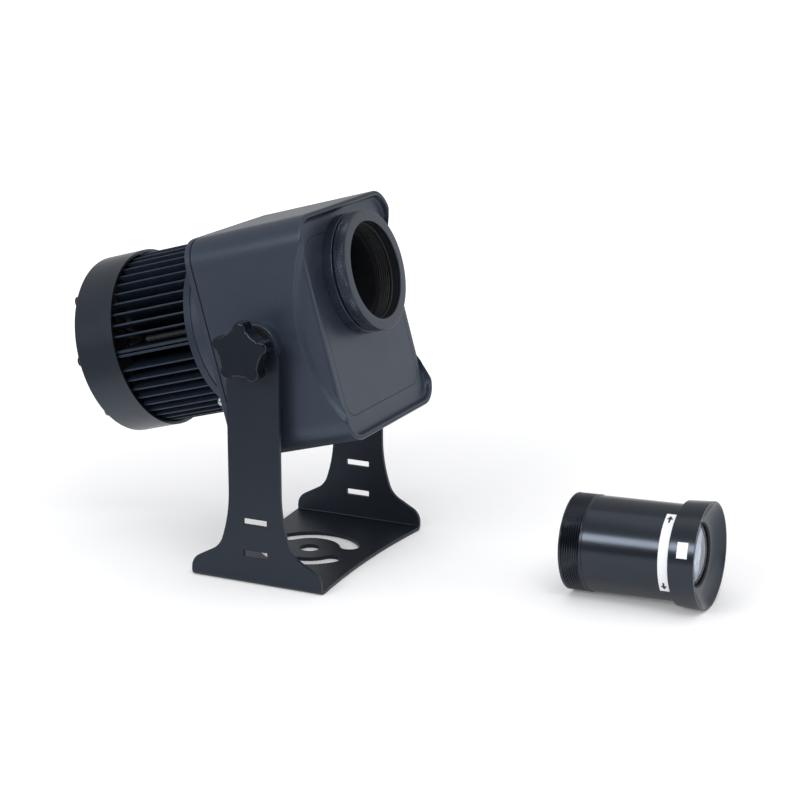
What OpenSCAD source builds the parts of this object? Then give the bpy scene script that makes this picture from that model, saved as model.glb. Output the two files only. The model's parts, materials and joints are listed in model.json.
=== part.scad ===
// Gobo projector: a round finned lamp head in a U-shaped yoke, with its lens lying beside it.
// Millimetres. +Z is up, the tilt axis runs along X and the light leaves towards -Y.
// The origin is the centre of the hole in the yoke's base, on the floor.

/* [Yoke] */
// Thickness of the bent sheet
sheet = 2.5; // [2:0.5:3]
// Inner radius of the two bends
bend_r = 1; // [0.5:0.5:3]
// Depth of the foot along Y
foot_depth = 91; // [88:1:100]
// Width of the upright's neck
neck_w = 36; // [30:1:38]
// Height of the tilt axis
pivot_z = 150; // [148:1:170]
// How far the upright rises above the tilt axis
upright_top = 10; // [8:1:14]
// Height where the neck starts to widen
flare_z = 59; // [56:1:70]
// Radius of the hollow above the foot
hollow_r = 14.8; // [12:0.1:15.5]
// Height of the hollow's centre
hollow_z = 32.5; // [30:0.5:36]
// Distance from the foot's end in to the hollow's centre
hollow_in = 8.2; // [7:0.1:9]
// Radius of the foot's round shoulder
foot_r = 10; // [8:0.5:11]
// Height of the shoulder's centre
foot_z = 5.3; // [4:0.1:7]
// How far the base's front and rear edges draw in at the middle
base_waist = 3.5; // [1:0.5:6]
// Length of a strap slot
strap_w = 16.5; // [10:0.5:24]
// Height of a strap slot
strap_h = 4; // [3:0.5:6]
// Height of the lower strap slot's centre
strap_z = 19.8; // [14:0.1:24]
// Distance between the two strap slots of an upright
strap_pitch = 20.6; // [14:0.1:26]
// Diameter of the mounting hole in the base
base_hole_d = 13; // [8:0.5:16]
// Inner radius of the curved slots in the base
arc_in_r = 19.5; // [16:0.5:22]
// Width of the curved slots
arc_w = 12.5; // [8:0.5:13]
// Angle from a curved slot's middle to the centre of its round end
arc_half = 58.5; // [30:0.5:62]

/* [Housing] */
// Upward tilt of the head at rest, in degrees
tilt = 15.5; // [-20:0.5:40]
// Width of the housing
body_w = 120; // [118:1:124]
// Height of the housing
body_h = 140; // [138:1:148]
// Radius of the housing's long edges
body_r = 16; // [14:0.5:20]
// Wall of the housing
shell_t = 1.9; // [1.5:0.1:2.5]
// Rounding of the housing's front edge
rim_round = 1.6; // [0.5:0.1:1.8]
// Distance from the tilt axis forward to the housing's rim
front_reach = 45; // [43:0.5:50]
// Distance from the tilt axis back to the housing's rear edge
rear_reach = 33.7; // [32:0.1:36]
// Radius of the boss round the tilt axis
boss_r = 14; // [12:0.5:17]
// How far the boss stands out from the housing's side
boss_len = 6.3; // [5:0.1:15]
// Radius of the corner pillars inside the housing
pillar_r = 4.5; // [4:0.1:5.5]
// Distance from the housing's sides in to a pillar's centre
pillar_in = 7.5; // [7:0.1:8.5]

/* [Front bezel] */
// Width of the groove between housing rim and bezel lip
rim_gap = 1.7; // [1:0.1:2.2]
// Depth of that groove
rim_gap_depth = 2; // [1:0.1:3]
// How far the face lies behind the rim
face_drop = 4; // [2.5:0.1:5]
// Width of the lip's flat crest
lip_crest = 1; // [0.5:0.1:1.5]
// Width of the lip's slope down to the face
lip_slope = 2; // [1:0.1:3]
// Radius of the scoop that crosses each side of the front
scoop_r = 100; // [90:1:110]
// Distance from the tilt axis forward to the scoop's deepest point
scoop_start = 27.5; // [25:0.5:32]
// Radius of the cove round the scoop
cove_r = 5; // [3.7:0.1:7]
// Rounding of the face's upright edges in the scoops
face_round = 2.5; // [1:0.1:3]
// Depth of the bezel's side walls behind the rim
bezel_depth = 21; // [20:0.5:24]
// Wall of the bezel's sides
bezel_wall = 4; // [3:0.1:4.5]
// Thickness of the ledge behind the front cover
ledge_t = 2.5; // [2:0.1:3.5]
// Width of that ledge
ledge_w = 6; // [5:0.1:7]
// Distance from the housing's sides in to the flush front cover
cover_side = 10.5; // [9:0.1:13]
// Distance from the housing's top and bottom in to that cover
cover_end = 14.8; // [13:0.1:16]
// Corner radius of the front cover
cover_r = 10; // [6:0.5:14]
// Thickness of the front cover
cover_t = 3; // [2:0.1:3.5]

/* [Lens socket] */
// Height of the lens axis above the tilt axis
lens_up = 25; // [23:0.5:26]
// Radius of the socket's collar
collar_r = 37.5; // [36.5:0.1:39]
// Length of the collar in front of the face
collar_len = 6.7; // [5:0.1:9]
// Radius of the screw thread for the lens
thread_r = 30; // [29:0.1:30.5]
// Depth of that thread
thread_depth = 13.8; // [11:0.1:14]
// Length of the nose in front of the collar, under the ring
nose_len = 7.6; // [6.5:0.1:10]
// Wall of the nose
nose_wall = 3; // [2.5:0.1:3.5]
// Radius of the knurled ring
ring_r = 37.4; // [36.5:0.1:39]
// Gap between collar and knurled ring
ring_gap = 1; // [0.5:0.1:1.5]
// Thickness of the ring's front lip
ring_lip = 1.4; // [1:0.1:2]
// Outer radius of the barrel behind the face
barrel_r = 28; // [27:0.1:28.5]
// Wall of the barrel
barrel_wall = 2; // [1.5:0.1:2.3]
// Length of the barrel behind the face
barrel_len = 31; // [29:0.5:33]

/* [Light engine] */
// Radius of the gobo disc
gobo_r = 18.75; // [17:0.25:19.5]
// Thickness of the gobo disc
gobo_t = 1.1; // [0.5:0.1:2]
// Radius of the picture area left free by the gobo carrier
gobo_window_r = 15; // [12:0.5:16]
// Thickness of the gobo carrier
carrier_t = 6; // [5:0.1:8]
// Distance from the face back to the front of the gobo carrier
carrier_back = 21; // [19:0.5:23]
// Outer radius of the condenser tube
condenser_r = 25.5; // [24.5:0.1:25.8]
// Wall of the condenser tube
condenser_wall = 2; // [1.5:0.1:2.5]
// Thickness of each condenser lens at its edge
condenser_edge = 3; // [2:0.5:4]
// Radius of curvature of the condenser lenses
condenser_curve = 42; // [36:1:60]
// Length of the spacer between the condenser lenses
condenser_gap = 14; // [12:0.5:18]
// Radius of the lamp board
led_board_r = 19; // [16:0.5:20]
// Thickness of the lamp board
led_board_t = 2; // [1.5:0.1:3]
// Side of the light-emitting chip
led_side = 12; // [8:0.5:14]

/* [Driver] */
// Distance from the housing's sides in to the driver board
board_side = 16; // [14:0.5:25]
// Length of the driver board along the axis
board_len = 46; // [40:1:50]
// Thickness of the driver board
board_t = 1.6; // [1:0.1:2]
// Height of the stand-offs under the driver board
standoff_h = 10; // [6:0.5:12]

/* [Rear cover] */
// Thickness of the gasket behind the housing
gasket_t = 0.6; // [0.4:0.1:1]
// Thickness of the rear cover's plate
plate_t = 4.1; // [3.5:0.1:6]
// Radius of the round pedestal
pedestal_r = 54.5; // [52:0.5:55]
// Height of the pedestal behind the plate
pedestal_h = 9.6; // [7:0.1:12]
// Radius of the cove between plate and pedestal
pedestal_cove = 3; // [1:0.5:3.5]
// Drop of the cable gland below the tilt axis
gland_down = 57; // [56.5:0.1:57.5]
// Radius of the gland's thread
gland_r = 6; // [5:0.5:6.5]
// Radius of the cable hole through the gland
cable_r = 3.2; // [2:0.1:3.5]

/* [Heat sink] */
// Height of the heat sink's axis above the tilt axis
sink_up = 10; // [9:0.5:11]
// Radius of the heat sink over its fins
sink_r = 55; // [53:0.5:55.5]
// Length of the heat sink
sink_len = 59.5; // [50:0.5:62]
// Thickness of its base disc
sink_base_t = 5; // [3:0.5:8]
// Radius of its core
core_r = 22; // [18:0.5:26]
// Thickness of a fin
fin_t = 1.2; // [0.8:0.1:1.6]
// Number of fins between two screw ribs
fins_per_quarter = 10; // [8:1:11]
// Angle from a screw rib to the next fin
first_fin = 11.6; // [11:0.1:12]
// Width of a screw rib
rib_w = 4.4; // [4.2:0.1:5]
// Width of the slot along a screw rib
rib_slot = 1; // [0.8:0.1:1.4]
// Distance of the rib's screw from the axis
rib_screw_at = 50.5; // [49.5:0.1:51]
// Distance of the clamping screws from the axis
tie_at = 47; // [46:0.1:48]
// Angle from a screw rib to its clamping screw
tie_turn = 6.4; // [6.2:0.1:6.6]
// Length of the spacers under the clamping screws
tie_spacer_len = 31; // [20:0.5:34]
// Outer radius of those spacers
tie_spacer_r = 2.2; // [2:0.1:2.4]

/* [Shroud and fan] */
// Radius of the rear shroud
shroud_r = 57.5; // [57.2:0.1:58.5]
// Wall of the shroud
shroud_t = 1.8; // [1.2:0.1:2]
// Thickness of the shroud's end wall
shroud_end = 2; // [1.5:0.1:3]
// Rounding of the shroud's rear edge
shroud_round = 1.2; // [0.5:0.1:1.5]
// How far the shroud reaches over the fins
shroud_lap = 1.2; // [0.5:0.1:4]
// Gap between heat sink and fan
fan_gap = 0.7; // [0.3:0.1:3]
// Side of the square fan
fan_w = 80; // [76:1:81]
// Depth of the fan
fan_depth = 25; // [20:1:25]
// Distance between the fan's screws along a side
fan_pitch = 71.5; // [68:0.5:72]
// Radius of the fan's duct
fan_duct_r = 38; // [35:0.5:38.5]
// Radius of the rotor's hub
hub_r = 16.5; // [15:0.5:19]
// Number of fan blades
blades = 7; // [5:1:9]
// Thickness of the fan guard
guard_t = 1.5; // [1:0.1:2]

/* [Knobs] */
// Radius of a knob at its lobes
knob_r = 19.3; // [17:0.1:21]
// Thickness of a knob
knob_t = 10.6; // [8:0.1:13]
// Number of lobes
knob_lobes = 5; // [4:1:7]
// Radius of a lobe's tip
lobe_r = 5.2; // [4.5:0.1:6]
// Radius of the hollows between the lobes
hollow_between = 6.4; // [5:0.1:7]
// Radius of the knob's hub
knob_hub_r = 8.5; // [7.5:0.5:11]
// Length of the knob's hub between knob and washer
knob_hub_len = 4; // [2:0.1:8]
// Radius of the clamping stud
stud_r = 4; // [3:0.5:5]

/* [Loose lens] */
// Place of the lens to the side
lens_x = 12.3; // [-40:0.1:60]
// Distance in front of the origin to the lens's threaded end
lens_away = 177.2; // [150:0.1:220]
// Radius of the lens's thread
lens_thread_r = 29.8; // [28.9:0.1:29.8]
// Length of the lens's thread
lens_thread_len = 15; // [12:0.5:15]
// Radius of the lens tube
lens_tube_r = 29.3; // [28:0.1:29.4]
// Length of thread and tube
lens_tube_len = 70.4; // [64:0.1:76]
// Radius of the front ring where it meets the tube
lens_ring_back_r = 31.9; // [31:0.1:32.4]
// Radius of the front ring at its rim
lens_rim_r = 32.7; // [32.5:0.1:34]
// Length of the front ring
lens_ring_len = 15.5; // [14:0.1:18]
// Radius of the opening in front of the glass
lens_window_r = 18.6; // [17:0.1:20]
// Depth of the cone in front of the glass
lens_cone = 6.6; // [5:0.1:8]
// Bore of the lens tube
lens_bore_r = 25; // [23:0.5:26]

/* [Hidden] */
$fn = 72;

// Small clearances and steps shared by many pieces
fit = 0.05;
glide = 0.1;
slack = 0.2;
lap = 0.5;
spare = 1;
cut = 1;

// Screw sizes, as shank radius, head radius and head height
m25 = [1.25, 2.2, 1.6];
m3 = [1.5, 2.8, 2];
m4 = [2, 3.8, 2.6];

// Yoke
foot_half = foot_depth / 2;
neck_half = neck_w / 2;
friction_washer_t = 2;
upright_in = body_w / 2 + boss_len + friction_washer_t + slack;
yoke_half = upright_in + sheet;
top_centre_z = pivot_z + upright_top - neck_half;
hollow_y = foot_half - hollow_in;
shoulder_y = foot_half - foot_r;
flare_side = hollow_y - neck_half;
flare_drop = flare_z - hollow_z;
flare_r = (flare_side ^ 2 + flare_drop ^ 2 - hollow_r ^ 2) / (2 * (flare_side - hollow_r));
flare_end = atan2(flare_drop, neck_half + flare_r - hollow_y);
shoulder_dy = shoulder_y - hollow_y;
shoulder_dz = foot_z - hollow_z;
shoulder_gap = sqrt(shoulder_dy ^ 2 + shoulder_dz ^ 2);
hollow_end = atan2(shoulder_dz, shoulder_dy) - acos((hollow_r + foot_r) / shoulder_gap);
waist_end = 2;
waist_half = yoke_half - bend_r - sheet - waist_end;
waist_r = (waist_half ^ 2 + base_waist ^ 2) / (2 * base_waist);
arc_mid_r = arc_in_r + arc_w / 2;
pivot_gap = 0.25;
pivot_hole_r = stud_r + pivot_gap;

// Housing and front, measured along the light axis from the tilt axis
half_w = body_w / 2;
half_h = body_h / 2;
face_a = front_reach - face_drop;
bezel_step_a = front_reach - rim_gap_depth;
bezel_back_a = front_reach - bezel_depth;
bezel_fit = slack;
bezel_inset = shell_t + bezel_fit;
lip_inset = shell_t + rim_gap;
scoop_a = scoop_start + scoop_r;
scoop_half = sqrt(scoop_r ^ 2 - (scoop_a - face_a) ^ 2);
pillar_x = half_w - pillar_in;
pillar_b = half_h - pillar_in;
ledge_back_a = face_a - cover_t - ledge_t;
seam = 0.25;
cover_half_w = half_w - cover_side;
cover_half_h = half_h - cover_end;
cover_screw_down = 2;
cover_screw_x = cover_half_w - ledge_w / 2;
cover_screw_b = cover_half_h - cover_r - cover_screw_down;
cover_skin = 0.4;
cover_screw_end = 0.7;
lip_chamfer = 0.3;
case_screw_grip = 8;
case_hole_end = 4;
case_socket = 1.4;

// Tilt axis
boss_root = 3;
boss_x = half_w + boss_len;
friction_washer_in = 1;
friction_bore_gap = 0.5;
insert_r = 7;
insert_len = 11;
insert_in = boss_x - insert_len;
stud_short = 2;
stud_end_x = insert_in + stud_short;

// Lens socket
collar_a = face_a + collar_len;
nose_a = collar_a + nose_len;
nose_r = thread_r + nose_wall;
ring_back_a = collar_a + ring_gap;
ring_play = 0.3;
ring_bore_gap = 0.4;
ring_lip_a = nose_a + ring_play;
ring_front_a = ring_lip_a + ring_lip;
grub_a = (ring_back_a + ring_lip_a) / 2;
grub_r = 1.25;
grub_socket = 2;
groove_depth = 0.9;
barrel_bore_r = barrel_r - barrel_wall;
barrel_back_a = face_a - barrel_len;
collar_screw_at = (barrel_r + collar_r) / 2;
collar_screw_turn = 30;
collar_skin = 1;
stop_ledge_t = 2;

// Light engine
carrier_front_a = face_a - carrier_back;
carrier_back_a = carrier_front_a - carrier_t;
stop_ledge = 1.5;
carrier_r = barrel_bore_r - glide;
gobo_gap = 0.25;
pocket_r = gobo_r + gobo_gap;
clip_room = 1.4;
gobo_seat_a = carrier_front_a - gobo_t - clip_room;
clip_t = 1;
clip_w = 2;
clip_open = 4;
cover_front_a = -rear_reach - gasket_t;
cover_plate_a = cover_front_a - plate_t;
pedestal_a = cover_plate_a - pedestal_h;
condenser_in_r = condenser_r - condenser_wall;
lens_disc_r = condenser_in_r - glide;
condenser_foot = 10;
condenser_ledge_a = cover_front_a + condenser_foot;
condenser_ledge_t = 2;
condenser_ledge_w = 2;
rear_lens_a = condenser_ledge_a + condenser_ledge_t;
spacer_a = rear_lens_a + condenser_edge;
spacer_wall = 1;
front_lens_a = spacer_a + condenser_gap;
flange_t = 2.5;
flange_w = 6;
flange_r = condenser_r + flange_w;
flange_screw_at = condenser_r + flange_w / 2;
flange_screw_grip = 6;
led_screw_in = 4;
led_screw_grip = 5;
led_t = 1.2;

// Driver
board_w = body_w - 2 * board_side;
floor_b = -half_h + shell_t;
board_b = floor_b + standoff_h;
board_shift = 1;
board_mid_a = (cover_front_a + bezel_back_a) / 2 + board_shift;
board_hole_in = 4;
board_hole_x = board_w / 2 - board_hole_in;
board_hole_a = board_len / 2 - board_hole_in;
standoff_r = 3;
transformer_in = 20;
transformer_w = 22;
transformer_len = 18;
coil_w = 14;
coil_h = 10;
core_t = 3;
big_can_r = 6;
big_can_h = 18;
mid_can_r = 5;
mid_can_h = 14;
small_can_r = 4;
small_can_h = 11;
can_x = 2;
can_y = 6;
can_gap = 3;
terminal_gap = 4;
terminal_y = -4;
terminal_w = 10;
terminal_len = 20;
terminal_h = 10;
terminal_x = can_x + big_can_r + can_gap + 2 * small_can_r + terminal_gap + terminal_w / 2;
pole_pitch = 6;
pole_r = 1.8;
pole_floor = 4;

// Rear
gasket_inset = 0.6;
gasket_w = 4;
plate_round = 1.2;
plate_rim = 4;
sink_a = pedestal_a;
sink_end_a = sink_a - sink_len;
fin_step = (90 - 2 * first_fin) / (fins_per_quarter - 1);
tie_seat_a = sink_a - sink_base_t - tie_spacer_len;
tie_grip = 7;
tie_screw = [m3[0], 2.4, 3];
shroud_rim_a = sink_end_a + shroud_lap;
fan_front_a = sink_end_a - fan_gap;
fan_back_a = fan_front_a - fan_depth;
shroud_end_a = fan_back_a - shroud_end;
post_r = 4;
shroud_screw_grip = 10;
shroud_screw = [m3[0] - glide, 3.4, 2.4];
shroud_washer_t = 1.2;
fan_flange_t = 4;
fan_corner_r = 5;
fan_hole_gap = 0.15;
fan_screw_grip = 10;
duct_in = 0.6;
duct_lap = 0.4;
motor_t = 3;
motor_wall = 1.2;
motor_gap = 0.8;
strut_w = 4;
strut_turn = 20;
bearing_r = 3.5;
bearing_back = 6;
bearing_front = 2;
shaft_r = 1.5;
shaft_back = 0.5;
shaft_front = 2.5;
rotor_in = 2;
rotor_front_a = fan_front_a - motor_t - motor_gap;
rotor_back_a = fan_back_a + rotor_in;
blade_gap = 1;
blade_tip_r = fan_duct_r - blade_gap;
blade_t = 1.6;
blade_pitch = 48;
hub_end = 2;
hub_wall = 1.5;
hub_boss_r = 3;
hub_boss_len = 2;
guard_rings = 4;
guard_ring_w = 2;
guard_arm_w = 3;
guard_eye_r = 4.5;
guard_back_a = shroud_end_a - guard_t;

// Gland
gland_hex_r = gland_r + 3;
gland_hex_t = 5;
gland_thread_len = 8;
gland_tail = 1;
gland_wall = 1;
gland_seal_len = 6;
gland_cap_gap = 1;
gland_cap_in = 0.4;
gland_cap_hex_t = 7;
gland_cap_len = 14;
gland_dome_in = 1.6;
gland_dome_wall = 2;
locknut_t = 4;
gland_len = gland_thread_len + gland_hex_t + plate_t + locknut_t + gland_tail;

// Knobs
knob_washer_t = 1.2;
knob_washer_over = 0.5;
washer_in_x = yoke_half + glide;
washer_out_x = washer_in_x + knob_washer_t;
knob_back_x = washer_out_x + knob_hub_len;
knob_face_x = knob_back_x + knob_t;
knob_round = 3;
knob_back_round = 1.5;
knob_end = 3;

// Loose lens
lens_len = lens_tube_len + lens_ring_len;
lens_tilt = asin((lens_rim_r - lens_thread_r) / sqrt(lens_len ^ 2 + (lens_rim_r - lens_thread_r) ^ 2));
lens_glass_r = lens_bore_r - glide;
lens_lip_t = 1.2;
lens_rim_w = 1.2;
lens_tube_short = 4;
lens_spacer_wall = 2;
front_glass_seat = lens_len - lens_cone - lens_lip_t;
lens_glass_edge = 5;
lens_glass_curve = 60;
rear_glass_seat = 16;
retainer_wall = 3.5;
retainer_len = 6;

// Places the children with x to the right, y up and z forward along the light axis
module in_head() {
    translate([0, 0, pivot_z]) rotate([90 - tilt, 0, 0]) children();
}

// Moves the children from the tilt axis to the lens axis, or to the heat sink's axis
module on_lens_axis(a = 0) {
    in_head() translate([0, lens_up, a]) children();
}

module on_sink_axis(a = 0) {
    in_head() translate([0, sink_up, a]) children();
}

// Places the children along the loose lens, with z from its threaded end to its rim
module in_loose_lens() {
    translate([lens_x, -lens_away, lens_thread_r * cos(lens_tilt)])
        rotate([90 - lens_tilt, 0, 0]) children();
}

// Repeats the children at the four corners of a rectangle
module at_corners(x, y) {
    for (sx = [-1, 1], sy = [-1, 1])
        translate([sx * x, sy * y, 0]) children();
}

// Repeats the children at both ends of the tilt axis, with z outward and x up
module at_both_sides() {
    for (side = [0, 1])
        mirror([side, 0, 0]) rotate([0, -90, 0]) children();
}

module rounded_rect(w, h, r) {
    square([2 * w, 2 * (h - r)], center = true);
    square([2 * (w - r), 2 * h], center = true);
    for (sx = [-1, 1], sy = [-1, 1])
        translate([sx * (w - r), sy * (h - r)]) circle(r);
}

module plate(w, h, r, a0, a1) {
    translate([0, 0, a0]) linear_extrude(a1 - a0) rounded_rect(w, h, r);
}

// Sweeps a profile round a rounded rectangle: its x is counted out from the corner's centre
module rim_sweep(w, h, r) {
    for (turn = [0 : 3]) {
        reach = turn % 2 == 0 ? w : h;
        side = turn % 2 == 0 ? h : w;
        rotate([0, 0, 90 * turn]) translate([reach - r, side - r, 0]) {
            rotate([90, 0, 0]) linear_extrude(2 * (side - r)) children();
            rotate_extrude(angle = 90) children();
        }
    }
}

// What a round edge of radius r takes off a square corner at the origin, towards -x and -y
module edge_cut(r) {
    difference() {
        translate([-r, -r]) square(r + cut);
        translate([-r, -r]) circle(r);
        translate([-r - cut, -r - cut]) square([2 * r + 2 * cut, cut]);
    }
}

module tube(r_out, r_in, a0, a1) {
    translate([0, 0, a0]) difference() {
        cylinder(r = r_out, h = a1 - a0);
        translate([0, 0, -cut]) cylinder(r = r_in, h = a1 - a0 + 2 * cut);
    }
}

// A screw with its head's seat at the origin and its shank along +z
module screw(size, len, socket = 0.55) {
    difference() {
        union() {
            cylinder(r = size[0], h = len);
            translate([0, 0, -size[2]]) cylinder(r = size[1], h = size[2]);
        }
        translate([0, 0, -size[2] - cut])
            cylinder(r = size[1] * socket, h = size[2] * 0.6 + cut, $fn = 6);
    }
}

// The hole for a screw that grips this deep behind the origin
module blind_hole(size, grip) {
    translate([0, 0, -grip - spare]) cylinder(r = size[0] + fit, h = grip + spare + cut);
}

function arc_points(centre, r, from, to, steps) = [
    for (i = [0 : steps]) let (t = from + (to - from) * i / steps)
        [centre[0] + r * cos(t), centre[1] + r * sin(t)]
];

// Half of the upright's outline, from the top down, as y and z
function upright_half() = concat(
    arc_points([0, top_centre_z], neck_half, 90, 0, 16),
    arc_points([neck_half + flare_r, flare_z], flare_r, 180, 180 + flare_end, 8),
    arc_points([hollow_y, hollow_z], hollow_r, 180 + flare_end, 360 + hollow_end, 8),
    arc_points([shoulder_y, foot_z], foot_r, 180 + hollow_end, 0, 10),
    [[foot_half, -cut]]
);

function mirrored(points) = concat(
    points,
    [for (i = [len(points) - 1 : -1 : 0]) [-points[i][0], points[i][1]]]
);

module upright_side() {
    rotate([90, 0, 90]) translate([0, 0, -2 * yoke_half])
        linear_extrude(4 * yoke_half) polygon(mirrored(upright_half()));
}

module u_section(w, r) {
    top = pivot_z + upright_top + cut;
    translate([-w, r]) square([2 * w, top]);
    translate([-w + r, 0]) square([2 * (w - r), r + cut]);
    for (s = [-1, 1])
        translate([s * (w - r), r]) circle(r);
}

module bent_sheet() {
    rotate([90, 0, 0]) translate([0, 0, -foot_depth]) linear_extrude(2 * foot_depth)
        difference() {
            u_section(yoke_half, bend_r + sheet);
            translate([0, sheet]) u_section(upright_in, bend_r);
        }
}

module arc_slot() {
    translate([0, 0, -cut]) {
        rotate([0, 0, -arc_half]) rotate_extrude(angle = 2 * arc_half)
            translate([arc_in_r, 0]) square([arc_w, sheet + 2 * cut]);
        for (s = [-1, 1])
            rotate([0, 0, s * arc_half]) translate([arc_mid_r, 0, 0])
                cylinder(d = arc_w, h = sheet + 2 * cut);
    }
}

module yoke() {
    color([0.13, 0.14, 0.16]) difference() {
        intersection() {
            bent_sheet();
            upright_side();
        }
        for (s = [-1, 1])
            translate([0, s * (foot_half - base_waist + waist_r), -cut])
                cylinder(r = waist_r, h = sheet + 2 * cut, $fn = 360);
        for (row = [0, 1])
            translate([-2 * yoke_half, -strap_w / 2, strap_z + row * strap_pitch - strap_h / 2])
                cube([4 * yoke_half, strap_w, strap_h]);
        translate([-2 * yoke_half, 0, pivot_z]) rotate([0, 90, 0])
            cylinder(r = pivot_hole_r, h = 4 * yoke_half);
        translate([0, 0, -cut]) cylinder(d = base_hole_d, h = sheet + 2 * cut);
        arc_slot();
        mirror([1, 0, 0]) arc_slot();
    }
}

// The revolved scoop that crosses one side of the front
module scoop() {
    translate([0, 0, scoop_a]) rotate([0, 90, 0]) rotate_extrude($fn = 180) {
        translate([0, half_w - lip_inset]) square([scoop_r - cove_r, lip_inset + cut]);
        translate([scoop_r - cove_r, half_w - lip_inset + cove_r]) circle(cove_r, $fn = 72);
    }
}

module both_scoops() {
    scoop();
    mirror([1, 0, 0]) scoop();
}

module housing_shell() {
    color([0.15, 0.16, 0.18]) in_head() difference() {
        union() {
            rim_sweep(half_w, half_h, body_r) difference() {
                translate([body_r - shell_t, -rear_reach])
                    square([shell_t, front_reach + rear_reach]);
                translate([body_r, front_reach]) edge_cut(rim_round);
            }
            intersection() {
                at_corners(pillar_x, pillar_b) translate([0, 0, -rear_reach])
                    cylinder(r = pillar_r, h = rear_reach + bezel_back_a - slack);
                plate(half_w - lap, half_h - lap, body_r - lap, -rear_reach, front_reach);
            }
            at_both_sides() translate([0, 0, half_w - shell_t - boss_root])
                cylinder(r = boss_r, h = boss_len + shell_t + boss_root);
        }
        both_scoops();
        at_corners(pillar_x, pillar_b) translate([0, 0, -rear_reach - cut])
            cylinder(r = m4[0] + fit, h = front_reach + rear_reach);
        at_both_sides() cylinder(r = insert_r + fit, h = yoke_half);
    }
}

module lip_profile() {
    crest = body_r - lip_inset;
    polygon([
        [crest, bezel_step_a - cut],
        [crest, front_reach - lip_chamfer],
        [crest - lip_chamfer, front_reach],
        [crest - lip_crest, front_reach],
        [crest - lip_crest - lip_slope, face_a],
        [crest - lip_crest - lip_slope, face_a - cut],
        [crest, face_a - cut]
    ]);
}

module front_bezel() {
    w = half_w - bezel_inset;
    h = half_h - bezel_inset;
    r = body_r - bezel_inset;
    color([0.13, 0.14, 0.16]) in_head() difference() {
        union() {
            rim_sweep(w, h, r) translate([r - bezel_wall, bezel_back_a])
                square([bezel_wall, bezel_step_a - bezel_back_a]);
            plate(w - lap, h - lap, r - lap, ledge_back_a, face_a);
            rim_sweep(half_w - lip_inset, half_h - lip_inset, body_r - lip_inset) lip_profile();
            intersection() {
                at_corners(pillar_x, pillar_b) translate([0, 0, bezel_back_a])
                    cylinder(r = pillar_r, h = face_a - bezel_back_a - cut);
                plate(w - lap, h - lap, r - lap, bezel_back_a, face_a);
            }
        }
        both_scoops();
        intersection() {
            translate([-half_w, 0, scoop_a]) rotate([0, 90, 0])
                cylinder(r = scoop_r, h = body_w, $fn = 180);
            translate([-half_w, -half_h, face_a]) cube([body_w, body_h, front_reach]);
        }
        for (side = [0, 1])
            mirror([side, 0, 0]) translate([half_w - lip_inset, scoop_half - face_drop, face_a])
                rotate([90, 0, 0]) linear_extrude(2 * (scoop_half - face_drop))
                    edge_cut(face_round);
        plate(cover_half_w + seam, cover_half_h + seam, cover_r + seam, face_a - cover_t,
            front_reach);
        plate(cover_half_w - ledge_w, cover_half_h - ledge_w, cover_r - ledge_w / 2,
            ledge_back_a - cut, front_reach);
        translate([0, lens_up, ledge_back_a - cut])
            cylinder(r = barrel_r + slack, h = ledge_t + cover_t + 2 * cut);
        at_corners(cover_screw_x, cover_screw_b) translate([0, 0, ledge_back_a - cut])
            cylinder(r = m25[0] + slack, h = ledge_t + cover_t);
        at_corners(pillar_x, pillar_b) translate([0, 0, bezel_back_a - cut])
            cylinder(r = m4[0] + fit, h = face_a - bezel_back_a - case_hole_end);
    }
}

module front_cover() {
    color([0.13, 0.14, 0.16]) in_head() difference() {
        plate(cover_half_w, cover_half_h, cover_r, face_a - cover_t, face_a);
        translate([0, lens_up, face_a - cover_t - cut]) {
            cylinder(r = barrel_r + slack, h = cover_t + 2 * cut);
            at_collar_screws() cylinder(r = m25[0] + slack, h = cover_t + 2 * cut);
        }
        at_corners(cover_screw_x, cover_screw_b) translate([0, 0, face_a - cover_t - cut])
            cylinder(r = m25[0] + fit, h = cover_t - cover_skin + cut);
    }
}

module cover_screws() {
    color([0.5, 0.5, 0.52]) in_head() at_corners(cover_screw_x, cover_screw_b)
        translate([0, 0, ledge_back_a]) screw(m25, ledge_t + cover_t - cover_screw_end);
}

module at_collar_screws() {
    for (turn = [-1, 1], side = [0, 180])
        rotate([0, 0, side + turn * collar_screw_turn]) translate([collar_screw_at, 0, 0])
            children();
}

module lens_collar() {
    color([0.1, 0.1, 0.11]) on_lens_axis() difference() {
        union() {
            translate([0, 0, face_a]) cylinder(r = collar_r, h = collar_len);
            translate([0, 0, face_a]) cylinder(r = nose_r, h = nose_a - face_a);
            translate([0, 0, barrel_back_a]) cylinder(r = barrel_r, h = barrel_len + cut);
        }
        translate([0, 0, nose_a - thread_depth]) cylinder(r = thread_r, h = thread_depth + cut);
        translate([0, 0, carrier_front_a + stop_ledge_t]) cylinder(r = barrel_bore_r, h = nose_a);
        translate([0, 0, carrier_front_a - cut])
            cylinder(r = barrel_bore_r - stop_ledge, h = nose_a);
        translate([0, 0, barrel_back_a - cut])
            cylinder(r = barrel_bore_r, h = carrier_front_a - barrel_back_a + cut);
        tube(nose_r + cut, nose_r - groove_depth, grub_a - grub_r - slack,
            grub_a + grub_r + slack);
        at_collar_screws() translate([0, 0, face_a - cut])
            cylinder(r = m25[0] + fit, h = collar_len - collar_skin + cut);
    }
}

module collar_screws() {
    color([0.5, 0.5, 0.52]) on_lens_axis(face_a - cover_t) at_collar_screws()
        screw(m25, cover_t + collar_len - collar_skin - spare);
}

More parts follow.
